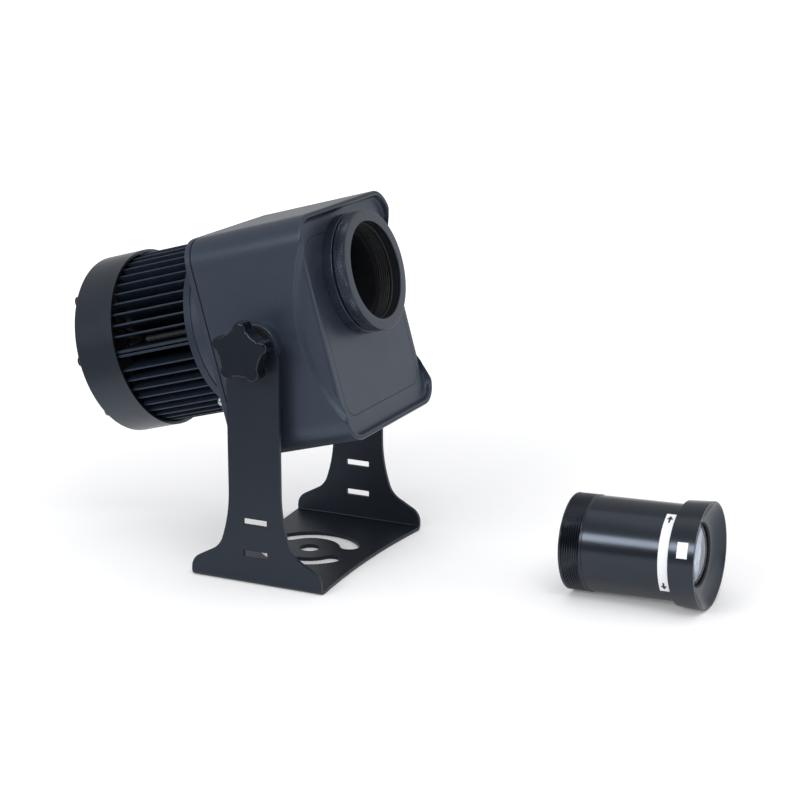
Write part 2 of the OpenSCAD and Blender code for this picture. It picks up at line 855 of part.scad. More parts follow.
module lens_ring() {
    color([0.12, 0.12, 0.13]) on_lens_axis() difference() {
        translate([0, 0, ring_back_a]) cylinder(r = ring_r, h = ring_front_a - ring_back_a);
        translate([0, 0, ring_back_a - cut])
            cylinder(r = nose_r + fit, h = ring_lip_a - ring_back_a + cut);
        translate([0, 0, ring_back_a]) cylinder(r = thread_r + ring_bore_gap, h = ring_front_a);
        at_grub_screws() translate([0, 0, nose_r - cut])
            cylinder(r = grub_r + fit, h = ring_r - nose_r + 2 * cut);
    }
}

module at_grub_screws() {
    for (turn = [0 : 2])
        translate([0, 0, grub_a]) rotate([90, 0, 120 * turn + 90]) children();
}

module ring_grub_screws() {
    color([0.3, 0.3, 0.32]) on_lens_axis() at_grub_screws() difference() {
        translate([0, 0, nose_r - groove_depth + slack])
            cylinder(r = grub_r, h = ring_r - nose_r + groove_depth - 3 * slack);
        translate([0, 0, ring_r - grub_socket])
            cylinder(r = 0.6 * grub_r, h = grub_socket + cut, $fn = 6);
    }
}

module gobo_carrier() {
    color([0.2, 0.2, 0.22]) on_lens_axis() difference() {
        translate([0, 0, carrier_back_a]) cylinder(r = carrier_r, h = carrier_t);
        translate([0, 0, carrier_back_a - cut])
            cylinder(r = gobo_window_r, h = carrier_t + 2 * cut);
        translate([0, 0, gobo_seat_a]) cylinder(r = pocket_r, h = carrier_t);
    }
}

module gobo_disc() {
    color([0.8, 0.85, 0.9, 0.6]) on_lens_axis(gobo_seat_a) cylinder(r = gobo_r, h = gobo_t);
}

module gobo_clip() {
    color([0.6, 0.6, 0.62]) on_lens_axis(gobo_seat_a + gobo_t) difference() {
        tube(pocket_r - fit, pocket_r - clip_w, 0, clip_t);
        translate([0, -clip_open / 2, -cut]) cube([pocket_r + cut, clip_open, clip_t + 2 * cut]);
    }
}

module condenser_tube() {
    color([0.55, 0.56, 0.58]) on_lens_axis() difference() {
        union() {
            translate([0, 0, cover_front_a])
                cylinder(r = condenser_r, h = carrier_back_a - cover_front_a);
            translate([0, 0, cover_front_a]) cylinder(r = flange_r, h = flange_t);
        }
        translate([0, 0, cover_front_a - cut])
            cylinder(r = condenser_in_r, h = condenser_ledge_a - cover_front_a + cut);
        translate([0, 0, cover_front_a])
            cylinder(r = condenser_in_r - condenser_ledge_w,
                h = carrier_back_a - cover_front_a + cut);
        translate([0, 0, rear_lens_a])
            cylinder(r = condenser_in_r, h = carrier_back_a - rear_lens_a + cut);
        at_condenser_screws() translate([0, 0, cover_front_a - cut])
            cylinder(r = m3[0] + slack, h = flange_t + 2 * cut);
    }
}

module at_condenser_screws() {
    for (turn = [0 : 3])
        rotate([0, 0, 90 * turn + 45]) translate([flange_screw_at, 0, 0]) children();
}

module condenser_screws() {
    color([0.5, 0.5, 0.52]) on_lens_axis(cover_front_a + flange_t) at_condenser_screws()
        rotate([180, 0, 0]) screw(m3, flange_t + flange_screw_grip);
}

// A dome on the origin, with the radius of its foot and of its curve
module dome(r, curve) {
    rise = curve - sqrt(curve ^ 2 - r ^ 2);
    intersection() {
        translate([0, 0, -fit]) cylinder(r = r, h = rise + cut);
        translate([0, 0, rise - curve]) sphere(r = curve);
    }
}

// A lens that is flat behind, with a dome in front inside a flat rim
module domed_lens(r, edge, curve, rim) {
    cylinder(r = r, h = edge);
    translate([0, 0, edge]) dome(r - rim, curve);
}

module condenser_rear_lens() {
    color([0.8, 0.88, 0.92, 0.4]) on_lens_axis(rear_lens_a)
        domed_lens(lens_disc_r, condenser_edge, condenser_curve, spacer_wall + slack);
}

module condenser_spacer() {
    color([0.3, 0.3, 0.32]) on_lens_axis()
        tube(lens_disc_r, lens_disc_r - spacer_wall, spacer_a, front_lens_a);
}

module condenser_front_lens() {
    color([0.8, 0.88, 0.92, 0.4]) on_lens_axis(front_lens_a)
        domed_lens(lens_disc_r, condenser_edge, condenser_curve, spacer_wall + slack);
}

module at_led_screws() {
    for (s = [-1, 1])
        translate([s * (led_board_r - led_screw_in), 0, 0]) children();
}

module led_board() {
    color([0.85, 0.85, 0.82]) on_lens_axis(cover_front_a) difference() {
        cylinder(r = led_board_r, h = led_board_t);
        at_led_screws() translate([0, 0, -cut]) cylinder(r = m3[0] + slack, h = 2 * cut + led_board_t);
    }
}

module led_emitter() {
    color([0.95, 0.85, 0.3]) on_lens_axis(cover_front_a + led_board_t)
        translate([-led_side / 2, -led_side / 2, 0]) cube([led_side, led_side, led_t]);
}

module led_screws() {
    color([0.5, 0.5, 0.52]) on_lens_axis(cover_front_a + led_board_t) at_led_screws()
        rotate([180, 0, 0]) screw(m3, led_board_t + led_screw_grip);
}

// Places the children over the driver board, with z up from its underside
module on_driver() {
    in_head() translate([0, board_b, board_mid_a]) rotate([-90, 0, 0]) children();
}

module driver_board() {
    color([0.1, 0.35, 0.18]) on_driver() difference() {
        translate([-board_w / 2, -board_len / 2, 0]) cube([board_w, board_len, board_t]);
        at_corners(board_hole_x, board_hole_a) translate([0, 0, -cut])
            cylinder(r = m3[0] + slack, h = board_t + 2 * cut);
    }
}

module board_standoffs() {
    color([0.75, 0.6, 0.3]) on_driver() at_corners(board_hole_x, board_hole_a)
        tube(standoff_r, m3[0] + fit, -standoff_h, 0);
}

module board_screws() {
    color([0.5, 0.5, 0.52]) on_driver() at_corners(board_hole_x, board_hole_a)
        translate([0, 0, board_t]) rotate([180, 0, 0]) screw(m3, board_t + standoff_h / 2);
}

module driver_transformer() {
    color([0.75, 0.7, 0.35]) on_driver()
        translate([transformer_in - board_w / 2, -transformer_len / 2, board_t]) {
            for (level = [0, core_t + coil_h])
                translate([-transformer_w / 2, 0, level])
                    cube([transformer_w, transformer_len, core_t]);
            translate([-coil_w / 2, 0, core_t]) cube([coil_w, transformer_len, coil_h]);
        }
}

module driver_capacitors() {
    color([0.15, 0.15, 0.3]) on_driver() translate([can_x, can_y, board_t]) {
        cylinder(r = big_can_r, h = big_can_h);
        translate([0, -big_can_r - can_gap - mid_can_r, 0]) cylinder(r = mid_can_r, h = mid_can_h);
        translate([big_can_r + can_gap + small_can_r, 0, 0])
            cylinder(r = small_can_r, h = small_can_h);
    }
}

module terminal_block() {
    color([0.15, 0.4, 0.25]) on_driver()
        translate([terminal_x, terminal_y, board_t]) difference() {
            translate([-terminal_w / 2, -terminal_len / 2, 0])
                cube([terminal_w, terminal_len, terminal_h]);
            for (pole = [-1 : 1])
                translate([0, pole * pole_pitch, pole_floor]) cylinder(r = pole_r, h = terminal_h);
        }
}

module pivot_inserts() {
    color([0.75, 0.6, 0.3]) translate([0, 0, pivot_z]) at_both_sides()
        tube(insert_r, stud_r + fit, insert_in, boss_x);
}

module friction_washers() {
    color([0.08, 0.08, 0.08]) translate([0, 0, pivot_z]) at_both_sides()
        tube(boss_r - friction_washer_in, stud_r + friction_bore_gap, boss_x,
            boss_x + friction_washer_t);
}

module rear_gasket() {
    w = half_w - gasket_inset;
    h = half_h - gasket_inset;
    r = body_r - gasket_inset;
    color([0.05, 0.05, 0.05]) in_head() difference() {
        plate(w, h, r, cover_front_a, -rear_reach);
        plate(w - gasket_w, h - gasket_w, r - gasket_w + 1, cover_front_a - cut,
            cut - rear_reach);
        at_corners(pillar_x, pillar_b) translate([0, 0, cover_front_a - cut])
            cylinder(r = m4[0] + slack, h = gasket_t + 2 * cut);
    }
}

module rear_cover() {
    color([0.16, 0.17, 0.19]) in_head() difference() {
        union() {
            plate(half_w - plate_round, half_h - plate_round, body_r - plate_round, cover_plate_a,
                cover_front_a);
            rim_sweep(half_w, half_h, body_r) difference() {
                translate([body_r - plate_rim, cover_plate_a]) square([plate_rim, plate_t]);
                translate([body_r, cover_plate_a]) mirror([0, 1]) edge_cut(plate_round);
            }
            translate([0, sink_up, 0]) rotate_extrude($fn = 144) {
                translate([0, pedestal_a]) square([pedestal_r, pedestal_h + cut]);
                translate([pedestal_r - fit, cover_plate_a - pedestal_cove]) difference() {
                    square([pedestal_cove + fit, pedestal_cove + fit]);
                    translate([pedestal_cove + fit, 0]) circle(pedestal_cove);
                }
            }
        }
        at_corners(pillar_x, pillar_b) translate([0, 0, cover_plate_a]) {
            translate([0, 0, -cut]) cylinder(r = m4[0] + slack, h = plate_t + 2 * cut);
            translate([0, 0, -fit]) cylinder(r1 = m4[1] + fit, r2 = m4[0] + slack, h = m4[2]);
        }
        translate([0, -gland_down, cover_plate_a - cut])
            cylinder(r = gland_r + fit, h = plate_t + 2 * cut);
        translate([0, lens_up, cover_front_a]) {
            at_condenser_screws() blind_hole(m3, flange_screw_grip);
            at_led_screws() blind_hole(m3, led_screw_grip);
        }
        translate([0, sink_up, pedestal_a]) at_ties()
            translate([0, 0, -cut]) cylinder(r = m3[0] + fit, h = tie_grip + spare + cut);
    }
}

// Long countersunk screws that hold rear cover, housing and bezel together
module case_screws() {
    color([0.2, 0.2, 0.22]) in_head() at_corners(pillar_x, pillar_b)
        translate([0, 0, cover_plate_a + slack]) difference() {
            union() {
                cylinder(r1 = m4[1] - slack, r2 = m4[0], h = m4[2] - slack);
                cylinder(r = m4[0], h = bezel_back_a - cover_plate_a + case_screw_grip);
            }
            translate([0, 0, -cut]) cylinder(r = m4[0] * 0.7, h = case_socket + cut, $fn = 6);
        }
}

module in_gland() {
    in_head() translate([0, -gland_down, cover_plate_a]) rotate([180, 0, 0]) children();
}

module cable_gland() {
    color([0.1, 0.1, 0.1]) in_gland() difference() {
        union() {
            rotate([0, 0, 30]) cylinder(r = gland_hex_r, h = gland_hex_t, $fn = 6);
            translate([0, 0, -plate_t - locknut_t - gland_tail])
                cylinder(r = gland_r, h = gland_len);
        }
        translate([0, 0, -plate_t - locknut_t - gland_tail - cut])
            cylinder(r = cable_r, h = gland_len + 2 * cut);
        translate([0, 0, gland_hex_t + gland_thread_len - gland_seal_len])
            cylinder(r = gland_r - gland_wall, h = gland_seal_len + cut);
    }
}

module gland_cap() {
    start = gland_hex_t + gland_cap_gap;
    color([0.1, 0.1, 0.1]) in_gland() difference() {
        union() {
            translate([0, 0, start]) rotate([0, 0, 30])
                cylinder(r = gland_hex_r - gland_cap_in, h = gland_cap_hex_t, $fn = 6);
            translate([0, 0, start + gland_cap_hex_t - cut])
                cylinder(r1 = gland_hex_r - gland_dome_in, r2 = cable_r + gland_dome_wall,
                    h = gland_cap_len - gland_cap_hex_t + cut);
        }
        translate([0, 0, start - cut])
            cylinder(r = gland_r + fit, h = gland_thread_len + cut);
        translate([0, 0, start]) cylinder(r = cable_r, h = gland_cap_len + cut);
    }
}

module gland_seal() {
    start = gland_hex_t + gland_thread_len;
    color([0.05, 0.05, 0.05]) in_gland()
        tube(gland_r - gland_wall - fit, cable_r, start - gland_seal_len,
            start + gland_cap_gap - fit);
}

module gland_locknut() {
    color([0.1, 0.1, 0.1]) in_gland() translate([0, 0, -plate_t - locknut_t]) difference() {
        rotate([0, 0, 30]) cylinder(r = gland_hex_r, h = locknut_t, $fn = 6);
        translate([0, 0, -cut]) cylinder(r = gland_r + fit, h = locknut_t + 2 * cut);
    }
}

// Repeats the children at the heat sink's four screw ribs
module at_ribs() {
    for (quarter = [0 : 3])
        rotate([0, 0, 90 * quarter]) children();
}

module at_ties() {
    at_ribs() rotate([0, 0, -tie_turn]) translate([tie_at, 0, 0]) children();
}

module sink_section() {
    difference() {
        union() {
            circle(core_r);
            at_ribs() {
                translate([0, -rib_w / 2]) square([sink_r, rib_w]);
                for (i = [0 : fins_per_quarter - 1])
                    rotate(first_fin + fin_step * i) translate([0, -fin_t / 2])
                        square([sink_r, fin_t]);
            }
        }
        at_ribs() {
            translate([rib_screw_at, 0]) circle(m3[0] - fit, $fn = 24);
            translate([rib_screw_at, -rib_slot / 2]) square([sink_r, rib_slot]);
        }
    }
}

module heat_sink() {
    color([0.1, 0.1, 0.11]) on_sink_axis() difference() {
        union() {
            translate([0, 0, sink_end_a]) linear_extrude(sink_len - sink_base_t + fit)
                sink_section();
            translate([0, 0, sink_a - sink_base_t]) cylinder(r = sink_r, h = sink_base_t);
        }
        translate([0, 0, sink_a - sink_base_t - cut]) at_ties()
            cylinder(r = m3[0] + slack, h = sink_base_t + 2 * cut);
    }
}

// Long screws with spacers that clamp the heat sink to the rear cover
module tie_screws() {
    color([0.55, 0.55, 0.57]) on_sink_axis(tie_seat_a) at_ties()
        screw(tie_screw, tie_spacer_len + sink_base_t + tie_grip);
}

module tie_spacers() {
    color([0.6, 0.6, 0.62]) on_sink_axis() at_ties()
        tube(tie_spacer_r, m3[0] + fit, tie_seat_a, sink_a - sink_base_t);
}

module at_shroud_screws() {
    at_ribs() translate([rib_screw_at, 0, 0]) children();
}

module at_fan_screws() {
    at_corners(fan_pitch / 2, fan_pitch / 2) children();
}

module rear_shroud() {
    in_r = shroud_r - shroud_t;
    color([0.15, 0.16, 0.18]) on_sink_axis() difference() {
        union() {
            rotate_extrude($fn = 180) difference() {
                union() {
                    translate([in_r, shroud_end_a]) square([shroud_t, shroud_rim_a - shroud_end_a]);
                    translate([fan_duct_r, shroud_end_a])
                        square([shroud_r - fan_duct_r, shroud_end]);
                }
                translate([shroud_r, shroud_end_a]) mirror([0, 1]) edge_cut(shroud_round);
            }
            at_ribs() {
                translate([rib_screw_at, 0, fan_back_a - cut])
                    cylinder(r = post_r, h = sink_end_a - fan_back_a + cut);
                translate([rib_screw_at, -post_r / 2, fan_back_a - cut])
                    cube([in_r + shroud_t / 2 - rib_screw_at, post_r,
                        sink_end_a - fan_back_a + cut]);
            }
        }
        at_shroud_screws() translate([0, 0, shroud_end_a - cut])
            cylinder(r = m3[0] + slack, h = sink_end_a - shroud_end_a + 2 * cut);
        at_fan_screws() translate([0, 0, shroud_end_a - cut])
            cylinder(r = m4[0] + slack, h = shroud_end + 2 * cut);
    }
}

module shroud_washers() {
    color([0.08, 0.08, 0.08]) on_sink_axis(shroud_end_a - shroud_washer_t) at_shroud_screws()
        tube(post_r + slack, m3[0] + slack, 0, shroud_washer_t);
}

module shroud_screws() {
    color([0.2, 0.2, 0.22]) on_sink_axis(shroud_end_a - shroud_washer_t) at_shroud_screws()
        screw(shroud_screw, sink_end_a - shroud_end_a + shroud_washer_t + shroud_screw_grip);
}

module fan_section() {
    difference() {
        rounded_rect(fan_w / 2, fan_w / 2, fan_corner_r);
        circle(fan_duct_r);
    }
}

// The plate that carries the motor, on four struts
module motor_section() {
    circle(hub_r);
    intersection() {
        circle(fan_duct_r + duct_lap);
        for (strut = [0 : 3])
            rotate(90 * strut + strut_turn) translate([0, -strut_w / 2])
                square([fan_duct_r + cut, strut_w]);
    }
}

module fan_frame() {
    color([0.08, 0.08, 0.08]) on_sink_axis() difference() {
        union() {
            translate([0, 0, fan_back_a]) linear_extrude(fan_flange_t) fan_section();
            translate([0, 0, fan_front_a - fan_flange_t])
                linear_extrude(fan_flange_t) fan_section();
            tube(fan_w / 2 - duct_in, fan_duct_r, fan_back_a + fan_flange_t - cut,
                fan_front_a - fan_flange_t + cut);
            translate([0, 0, fan_front_a - motor_t]) linear_extrude(motor_t) motor_section();
            translate([0, 0, rotor_back_a + bearing_back - cut])
                cylinder(r = bearing_r + motor_wall, h = fan_front_a - rotor_back_a - bearing_back);
        }
        translate([0, 0, rotor_back_a])
            cylinder(r = bearing_r, h = fan_front_a - rotor_back_a - bearing_front / 2);
        at_fan_screws() translate([0, 0, fan_back_a - cut])
            cylinder(r = m4[0] + fan_hole_gap, h = fan_depth + 2 * cut);
    }
}

module fan_bearing() {
    color([0.75, 0.6, 0.3]) on_sink_axis()
        tube(bearing_r - fit / 2, shaft_r + fit, rotor_back_a + bearing_back,
            fan_front_a - bearing_front);
}

module fan_shaft() {
    color([0.7, 0.7, 0.72]) on_sink_axis(rotor_back_a + shaft_back)
        cylinder(r = shaft_r, h = fan_front_a - shaft_front - rotor_back_a - shaft_back);
}

module fan_rotor() {
    blade_h = rotor_front_a - rotor_back_a - 1;
    color([0.1, 0.1, 0.1]) on_sink_axis() difference() {
        union() {
            translate([0, 0, rotor_back_a])
                cylinder(r = hub_r, h = rotor_front_a - rotor_back_a);
            intersection() {
                tube(blade_tip_r, hub_r - cut, rotor_back_a, rotor_front_a);
                for (i = [0 : blades - 1])
                    rotate([0, 0, 360 / blades * i])
                        translate([(hub_r + fan_duct_r) / 2, 0, (rotor_back_a + rotor_front_a) / 2])
                        rotate([blade_pitch, 0, 0])
                            cube([fan_duct_r, blade_h / sin(blade_pitch), blade_t], center = true);
            }
        }
        translate([0, 0, rotor_back_a + hub_end]) difference() {
            cylinder(r = hub_r - hub_wall, h = fan_depth);
            translate([0, 0, -cut]) cylinder(r = hub_boss_r, h = hub_boss_len + cut);
        }
        translate([0, 0, rotor_back_a + shaft_back]) cylinder(r = shaft_r + fit / 5, h = fan_depth);
    }
}

module fan_guard() {
    color([0.6, 0.6, 0.62]) on_sink_axis(guard_back_a) linear_extrude(guard_t) difference() {
        union() {
            for (i = [1 : guard_rings]) difference() {
                circle(fan_duct_r * i / guard_rings + guard_ring_w / 2, $fn = 96);
                circle(fan_duct_r * i / guard_rings - guard_ring_w / 2, $fn = 96);
            }
            for (turn = [45, 135])
                rotate(turn) translate([-fan_pitch / sqrt(2), -guard_arm_w / 2])
                    square([2 * fan_pitch / sqrt(2), guard_arm_w]);
            for (sx = [-1, 1], sy = [-1, 1])
                translate([sx * fan_pitch / 2, sy * fan_pitch / 2]) circle(guard_eye_r);
        }
        for (sx = [-1, 1], sy = [-1, 1])
            translate([sx * fan_pitch / 2, sy * fan_pitch / 2]) circle(m4[0] + slack);
    }
}

module fan_screws() {
    color([0.2, 0.2, 0.22]) on_sink_axis(guard_back_a) at_fan_screws()
        screw(m4, guard_t + shroud_end + fan_screw_grip);
}

module knob_outline() {
    difference() {
        union() {
            circle(knob_r - lobe_r);
            for (i = [0 : knob_lobes - 1])
                rotate(360 / knob_lobes * i) {
                    translate([knob_r - lobe_r, 0]) circle(lobe_r);
                    translate([0, -lobe_r]) square([knob_r - lobe_r, 2 * lobe_r]);
                }
        }
        for (i = [0 : knob_lobes - 1])
            rotate(360 / knob_lobes * (i + 0.5)) translate([knob_r, 0]) circle(hollow_between);
    }
}

module knob() {
    difference() {
        union() {
            intersection() {
                translate([0, 0, knob_back_x]) linear_extrude(knob_t) knob_outline();
                translate([0, 0, knob_back_x]) rotate_extrude() difference() {
                    square([knob_r, knob_t]);
                    translate([knob_r, knob_t]) edge_cut(knob_round);
                    translate([knob_r, 0]) mirror([0, 1]) edge_cut(knob_back_round);
                }
            }
            translate([0, 0, washer_out_x]) cylinder(r = knob_hub_r, h = knob_hub_len + cut);
        }
        translate([0, 0, washer_out_x - cut])
            cylinder(r = stud_r + fit / 5, h = knob_face_x - washer_out_x - knob_end + cut);
    }
}

module stud() {
    translate([0, 0, stud_end_x]) cylinder(r = stud_r, h = knob_face_x - knob_end - stud_end_x);
}

module knob_washer() {
    tube(knob_hub_r + knob_washer_over, stud_r + slack, washer_in_x, washer_out_x);
}

module left_side() {
    translate([0, 0, pivot_z]) rotate([0, -90, 0]) children();
}

module right_side() {
    mirror([1, 0, 0]) left_side() children();
}

module left_knob() {
    color([0.06, 0.06, 0.07]) left_side() knob();
}

module left_stud() {
    color([0.7, 0.7, 0.72]) left_side() stud();
}

module left_washer() {
    color([0.7, 0.7, 0.72]) left_side() knob_washer();
}

module right_knob() {
    color([0.06, 0.06, 0.07]) right_side() knob();
}

module right_stud() {
    color([0.7, 0.7, 0.72]) right_side() stud();
}

module right_washer() {
    color([0.7, 0.7, 0.72]) right_side() knob_washer();
}

module lens_barrel() {
    color([0.08, 0.08, 0.09]) in_loose_lens() difference() {
        union() {
            cylinder(r = lens_thread_r, h = lens_thread_len);
            cylinder(r = lens_tube_r, h = lens_len - lens_cone - lens_tube_short);
        }
        translate([0, 0, -cut]) cylinder(r = lens_bore_r, h = lens_len);
    }
}

module lens_front_ring() {
    color([0.08, 0.08, 0.09]) in_loose_lens() difference() {
        translate([0, 0, lens_tube_len])
            cylinder(r1 = lens_ring_back_r, r2 = lens_rim_r, h = lens_ring_len);
        translate([0, 0, lens_tube_len - cut])
            cylinder(r = lens_tube_r + fit,
                h = lens_ring_len - lens_cone - lens_tube_short + fit + cut);
        translate([0, 0, lens_tube_len - cut])
            cylinder(r = lens_bore_r, h = front_glass_seat - lens_tube_len + cut);
        translate([0, 0, lens_tube_len - cut]) cylinder(r = lens_window_r, h = lens_ring_len + cut);
        translate([0, 0, lens_len - lens_cone])
            cylinder(r1 = lens_window_r, r2 = lens_rim_r - lens_rim_w, h = lens_cone + fit);
    }
}

module lens_glass(front) {
    translate([0, 0, front]) rotate([180, 0, 0])
        domed_lens(lens_glass_r, lens_glass_edge, lens_glass_curve, retainer_wall + slack);
}

module lens_front_glass() {
    color([0.75, 0.85, 0.92, 0.4]) in_loose_lens() {
        lens_glass(front_glass_seat);
        translate([0, 0, front_glass_seat]) dome(lens_window_r - slack, lens_glass_curve);
    }
}

module lens_spacer() {
    color([0.2, 0.2, 0.22]) in_loose_lens()
        tube(lens_glass_r, lens_glass_r - lens_spacer_wall, rear_glass_seat,
            front_glass_seat - lens_glass_edge);
}

module lens_rear_glass() {
    color([0.75, 0.85, 0.92, 0.4]) in_loose_lens() lens_glass(rear_glass_seat);
}

module lens_retainer() {
    back = rear_glass_seat - lens_glass_edge - retainer_len;
    color([0.2, 0.2, 0.22]) in_loose_lens()
        tube(lens_glass_r, lens_glass_r - retainer_wall, back, back + retainer_len);
}

yoke();
housing_shell();
front_bezel();
front_cover();
cover_screws();
lens_collar();
collar_screws();
gobo_carrier();
gobo_disc();
gobo_clip();
condenser_tube();
condenser_screws();
condenser_rear_lens();
condenser_spacer();
condenser_front_lens();
led_board();
led_emitter();
led_screws();
driver_board();
board_standoffs();
board_screws();
driver_transformer();
driver_capacitors();
terminal_block();
pivot_inserts();
friction_washers();
rear_gasket();
rear_cover();
case_screws();
cable_gland();
gland_cap();
gland_seal();
gland_locknut();
heat_sink();
tie_screws();
tie_spacers();
rear_shroud();
shroud_screws();
shroud_washers();
fan_frame();
fan_bearing();
fan_guard();
fan_screws();
fan_rotor();
fan_shaft();
lens_ring();
ring_grub_screws();
left_knob();
left_stud();
left_washer();
right_knob();
right_stud();
right_washer();
lens_barrel();
lens_front_ring();
lens_front_glass();
lens_spacer();
lens_rear_glass();
lens_retainer();
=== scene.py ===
"""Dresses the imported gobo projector: cast front, turned rings, knobs, fins, glass, finishes and studio."""

import json
import math

import bmesh
import bpy
from mathutils import Matrix, Vector


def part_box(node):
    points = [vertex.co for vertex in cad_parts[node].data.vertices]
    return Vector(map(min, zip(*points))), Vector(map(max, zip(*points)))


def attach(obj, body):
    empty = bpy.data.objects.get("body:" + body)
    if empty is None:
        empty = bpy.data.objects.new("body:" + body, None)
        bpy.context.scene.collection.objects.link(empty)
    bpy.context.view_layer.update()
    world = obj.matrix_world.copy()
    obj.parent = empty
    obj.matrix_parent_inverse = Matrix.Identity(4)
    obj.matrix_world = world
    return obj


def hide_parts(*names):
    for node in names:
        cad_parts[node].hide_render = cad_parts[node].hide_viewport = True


bl_info = {
    "name": "Gobo Projector",
    "version": (1, 0, 0),
    "blender": (4, 5, 0),
    "location": "3D View > Sidebar > Gobo Projector",
    "description": "Builds the gobo projector's visible pieces, finishes and studio round its CAD frame",
    "category": "Object",
}

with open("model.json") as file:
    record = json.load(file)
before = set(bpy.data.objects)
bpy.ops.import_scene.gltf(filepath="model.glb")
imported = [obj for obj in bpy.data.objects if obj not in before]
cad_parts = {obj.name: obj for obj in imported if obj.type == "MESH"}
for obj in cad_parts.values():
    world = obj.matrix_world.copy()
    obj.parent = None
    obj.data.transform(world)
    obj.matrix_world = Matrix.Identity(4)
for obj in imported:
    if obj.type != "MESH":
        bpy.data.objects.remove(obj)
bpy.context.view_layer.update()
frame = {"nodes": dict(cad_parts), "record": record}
FULL_TURN = 2 * math.pi
FINISHES = {}
SIDES = ((-1, "left"), (1, "right"))


def corner(node, low):
    """The lowest or the highest corner of a CAD node's box."""
    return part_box(node)[0 if low else 1]


def middle(node):
    """The centre of a CAD node's box."""
    lowest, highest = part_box(node)
    return (lowest + highest) / 2


def length(label, text, default):
    return bpy.props.FloatProperty(name=label, description=text, default=default, unit="LENGTH", precision=5)


def angle(label, text, degrees):
    return bpy.props.FloatProperty(
        name=label, description=text, default=math.radians(degrees), subtype="ANGLE", unit="ROTATION"
    )


def whole(label, text, default):
    return bpy.props.IntProperty(name=label, description=text, default=default)


def colour(label, text, default):
    return bpy.props.FloatVectorProperty(
        name=label, description=text, default=default, subtype="COLOR", size=3, min=0, max=1
    )


class HeadSizes(bpy.types.PropertyGroup):
    """Sizes of the head, measured from the tilt axis: across, up and forward along the light."""

    tilt: angle("Tilt", "How far the light leaves above the level at rest", 15.5)
    half_width: length("Half width", "Half of the housing's width", 0.060)
    half_height: length("Half height", "Half of the housing's height", 0.070)
    corner_radius: length("Corner radius", "Radius of the housing's long edges", 0.016)
    rim: length("Rim", "Distance forward to the housing's rim", 0.045)
    rear: length("Rear", "Distance back to the housing's rear edge", 0.0337)
    wall: length("Wall", "Wall of the housing", 0.0019)
    rim_round: length("Rim rounding", "Rounding of the housing's front edge", 0.0012)
    blend: length("Blend", "Softness where scoops, lip and face meet", 0.0011)
    rim_step: length("Rim step", "Width of the housing's rim outside the bezel's flange", 0.0014)
    boss_radius: length("Boss radius", "Radius of the boss round the tilt axis", 0.014)
    face: length("Face", "Distance forward to the front face", 0.041)
    lip_in: length("Lip inset", "Distance from the housing's side in to the bezel's lip", 0.0036)
    scoop_radius: length("Scoop radius", "Radius of the scoop that crosses each side", 0.100)
    scoop_centre: length("Scoop centre", "Distance forward to the scoop's axis", 0.1275)
    cove: length("Cove", "Radius of the cove round the scoop", 0.005)
    face_round: length("Face rounding", "Rounding of the face's upright edges", 0.0025)
    cover_half_width: length("Cover half width", "Half of the flush cover's width", 0.0495)
    cover_half_height: length("Cover half height", "Half of the flush cover's height", 0.0552)
    cover_radius: length("Cover radius", "Corner radius of the flush cover", 0.010)
    cover_thick: length("Cover thickness", "Thickness of the flush cover", 0.003)
    seam: length("Seam", "Width of the seam round the flush cover", 0.00025)
    lens_up: length("Lens axis", "Height of the lens axis above the tilt axis", 0.025)
    sink_up: length("Sink axis", "Height of the heat sink's axis above the tilt axis", 0.010)


class SocketSizes(bpy.types.PropertyGroup):
    """Sizes of the lens socket and its knurled ring, along the lens axis."""

    collar_radius: length("Collar radius", "Radius of the collar on the face", 0.0375)
    collar_front: length("Collar front", "Distance forward to the collar's front", 0.0477)
    nose_radius: length("Nose radius", "Radius of the nose under the ring", 0.033)
    nose_front: length("Nose front", "Distance forward to the nose's front", 0.0553)
    thread_radius: length("Thread radius", "Radius of the screw thread for the lens", 0.030)
    thread_depth: length("Thread depth", "Depth of that thread", 0.0138)
    thread_pitch: length("Thread pitch", "Distance between two turns of the thread", 0.0015)
    barrel_radius: length("Barrel radius", "Radius of the barrel behind the face", 0.028)
    barrel_bore: length("Barrel bore", "Bore of that barrel", 0.026)
    barrel_back: length("Barrel back", "Distance forward to the barrel's rear end", 0.010)
    ring_radius: length("Ring radius", "Radius of the knurled ring", 0.0374)
    ring_back: length("Ring back", "Distance forward to the ring's back", 0.0487)
    ring_lip: length("Ring lip", "Distance forward to the back of the ring's lip", 0.0556)
    ring_front: length("Ring front", "Distance forward to the ring's front", 0.057)
    knurl_teeth: whole("Knurl", "Diamonds round the ring", 136)
    knurl_depth: length("Knurl depth", "Depth of the knurl", 0.0007)


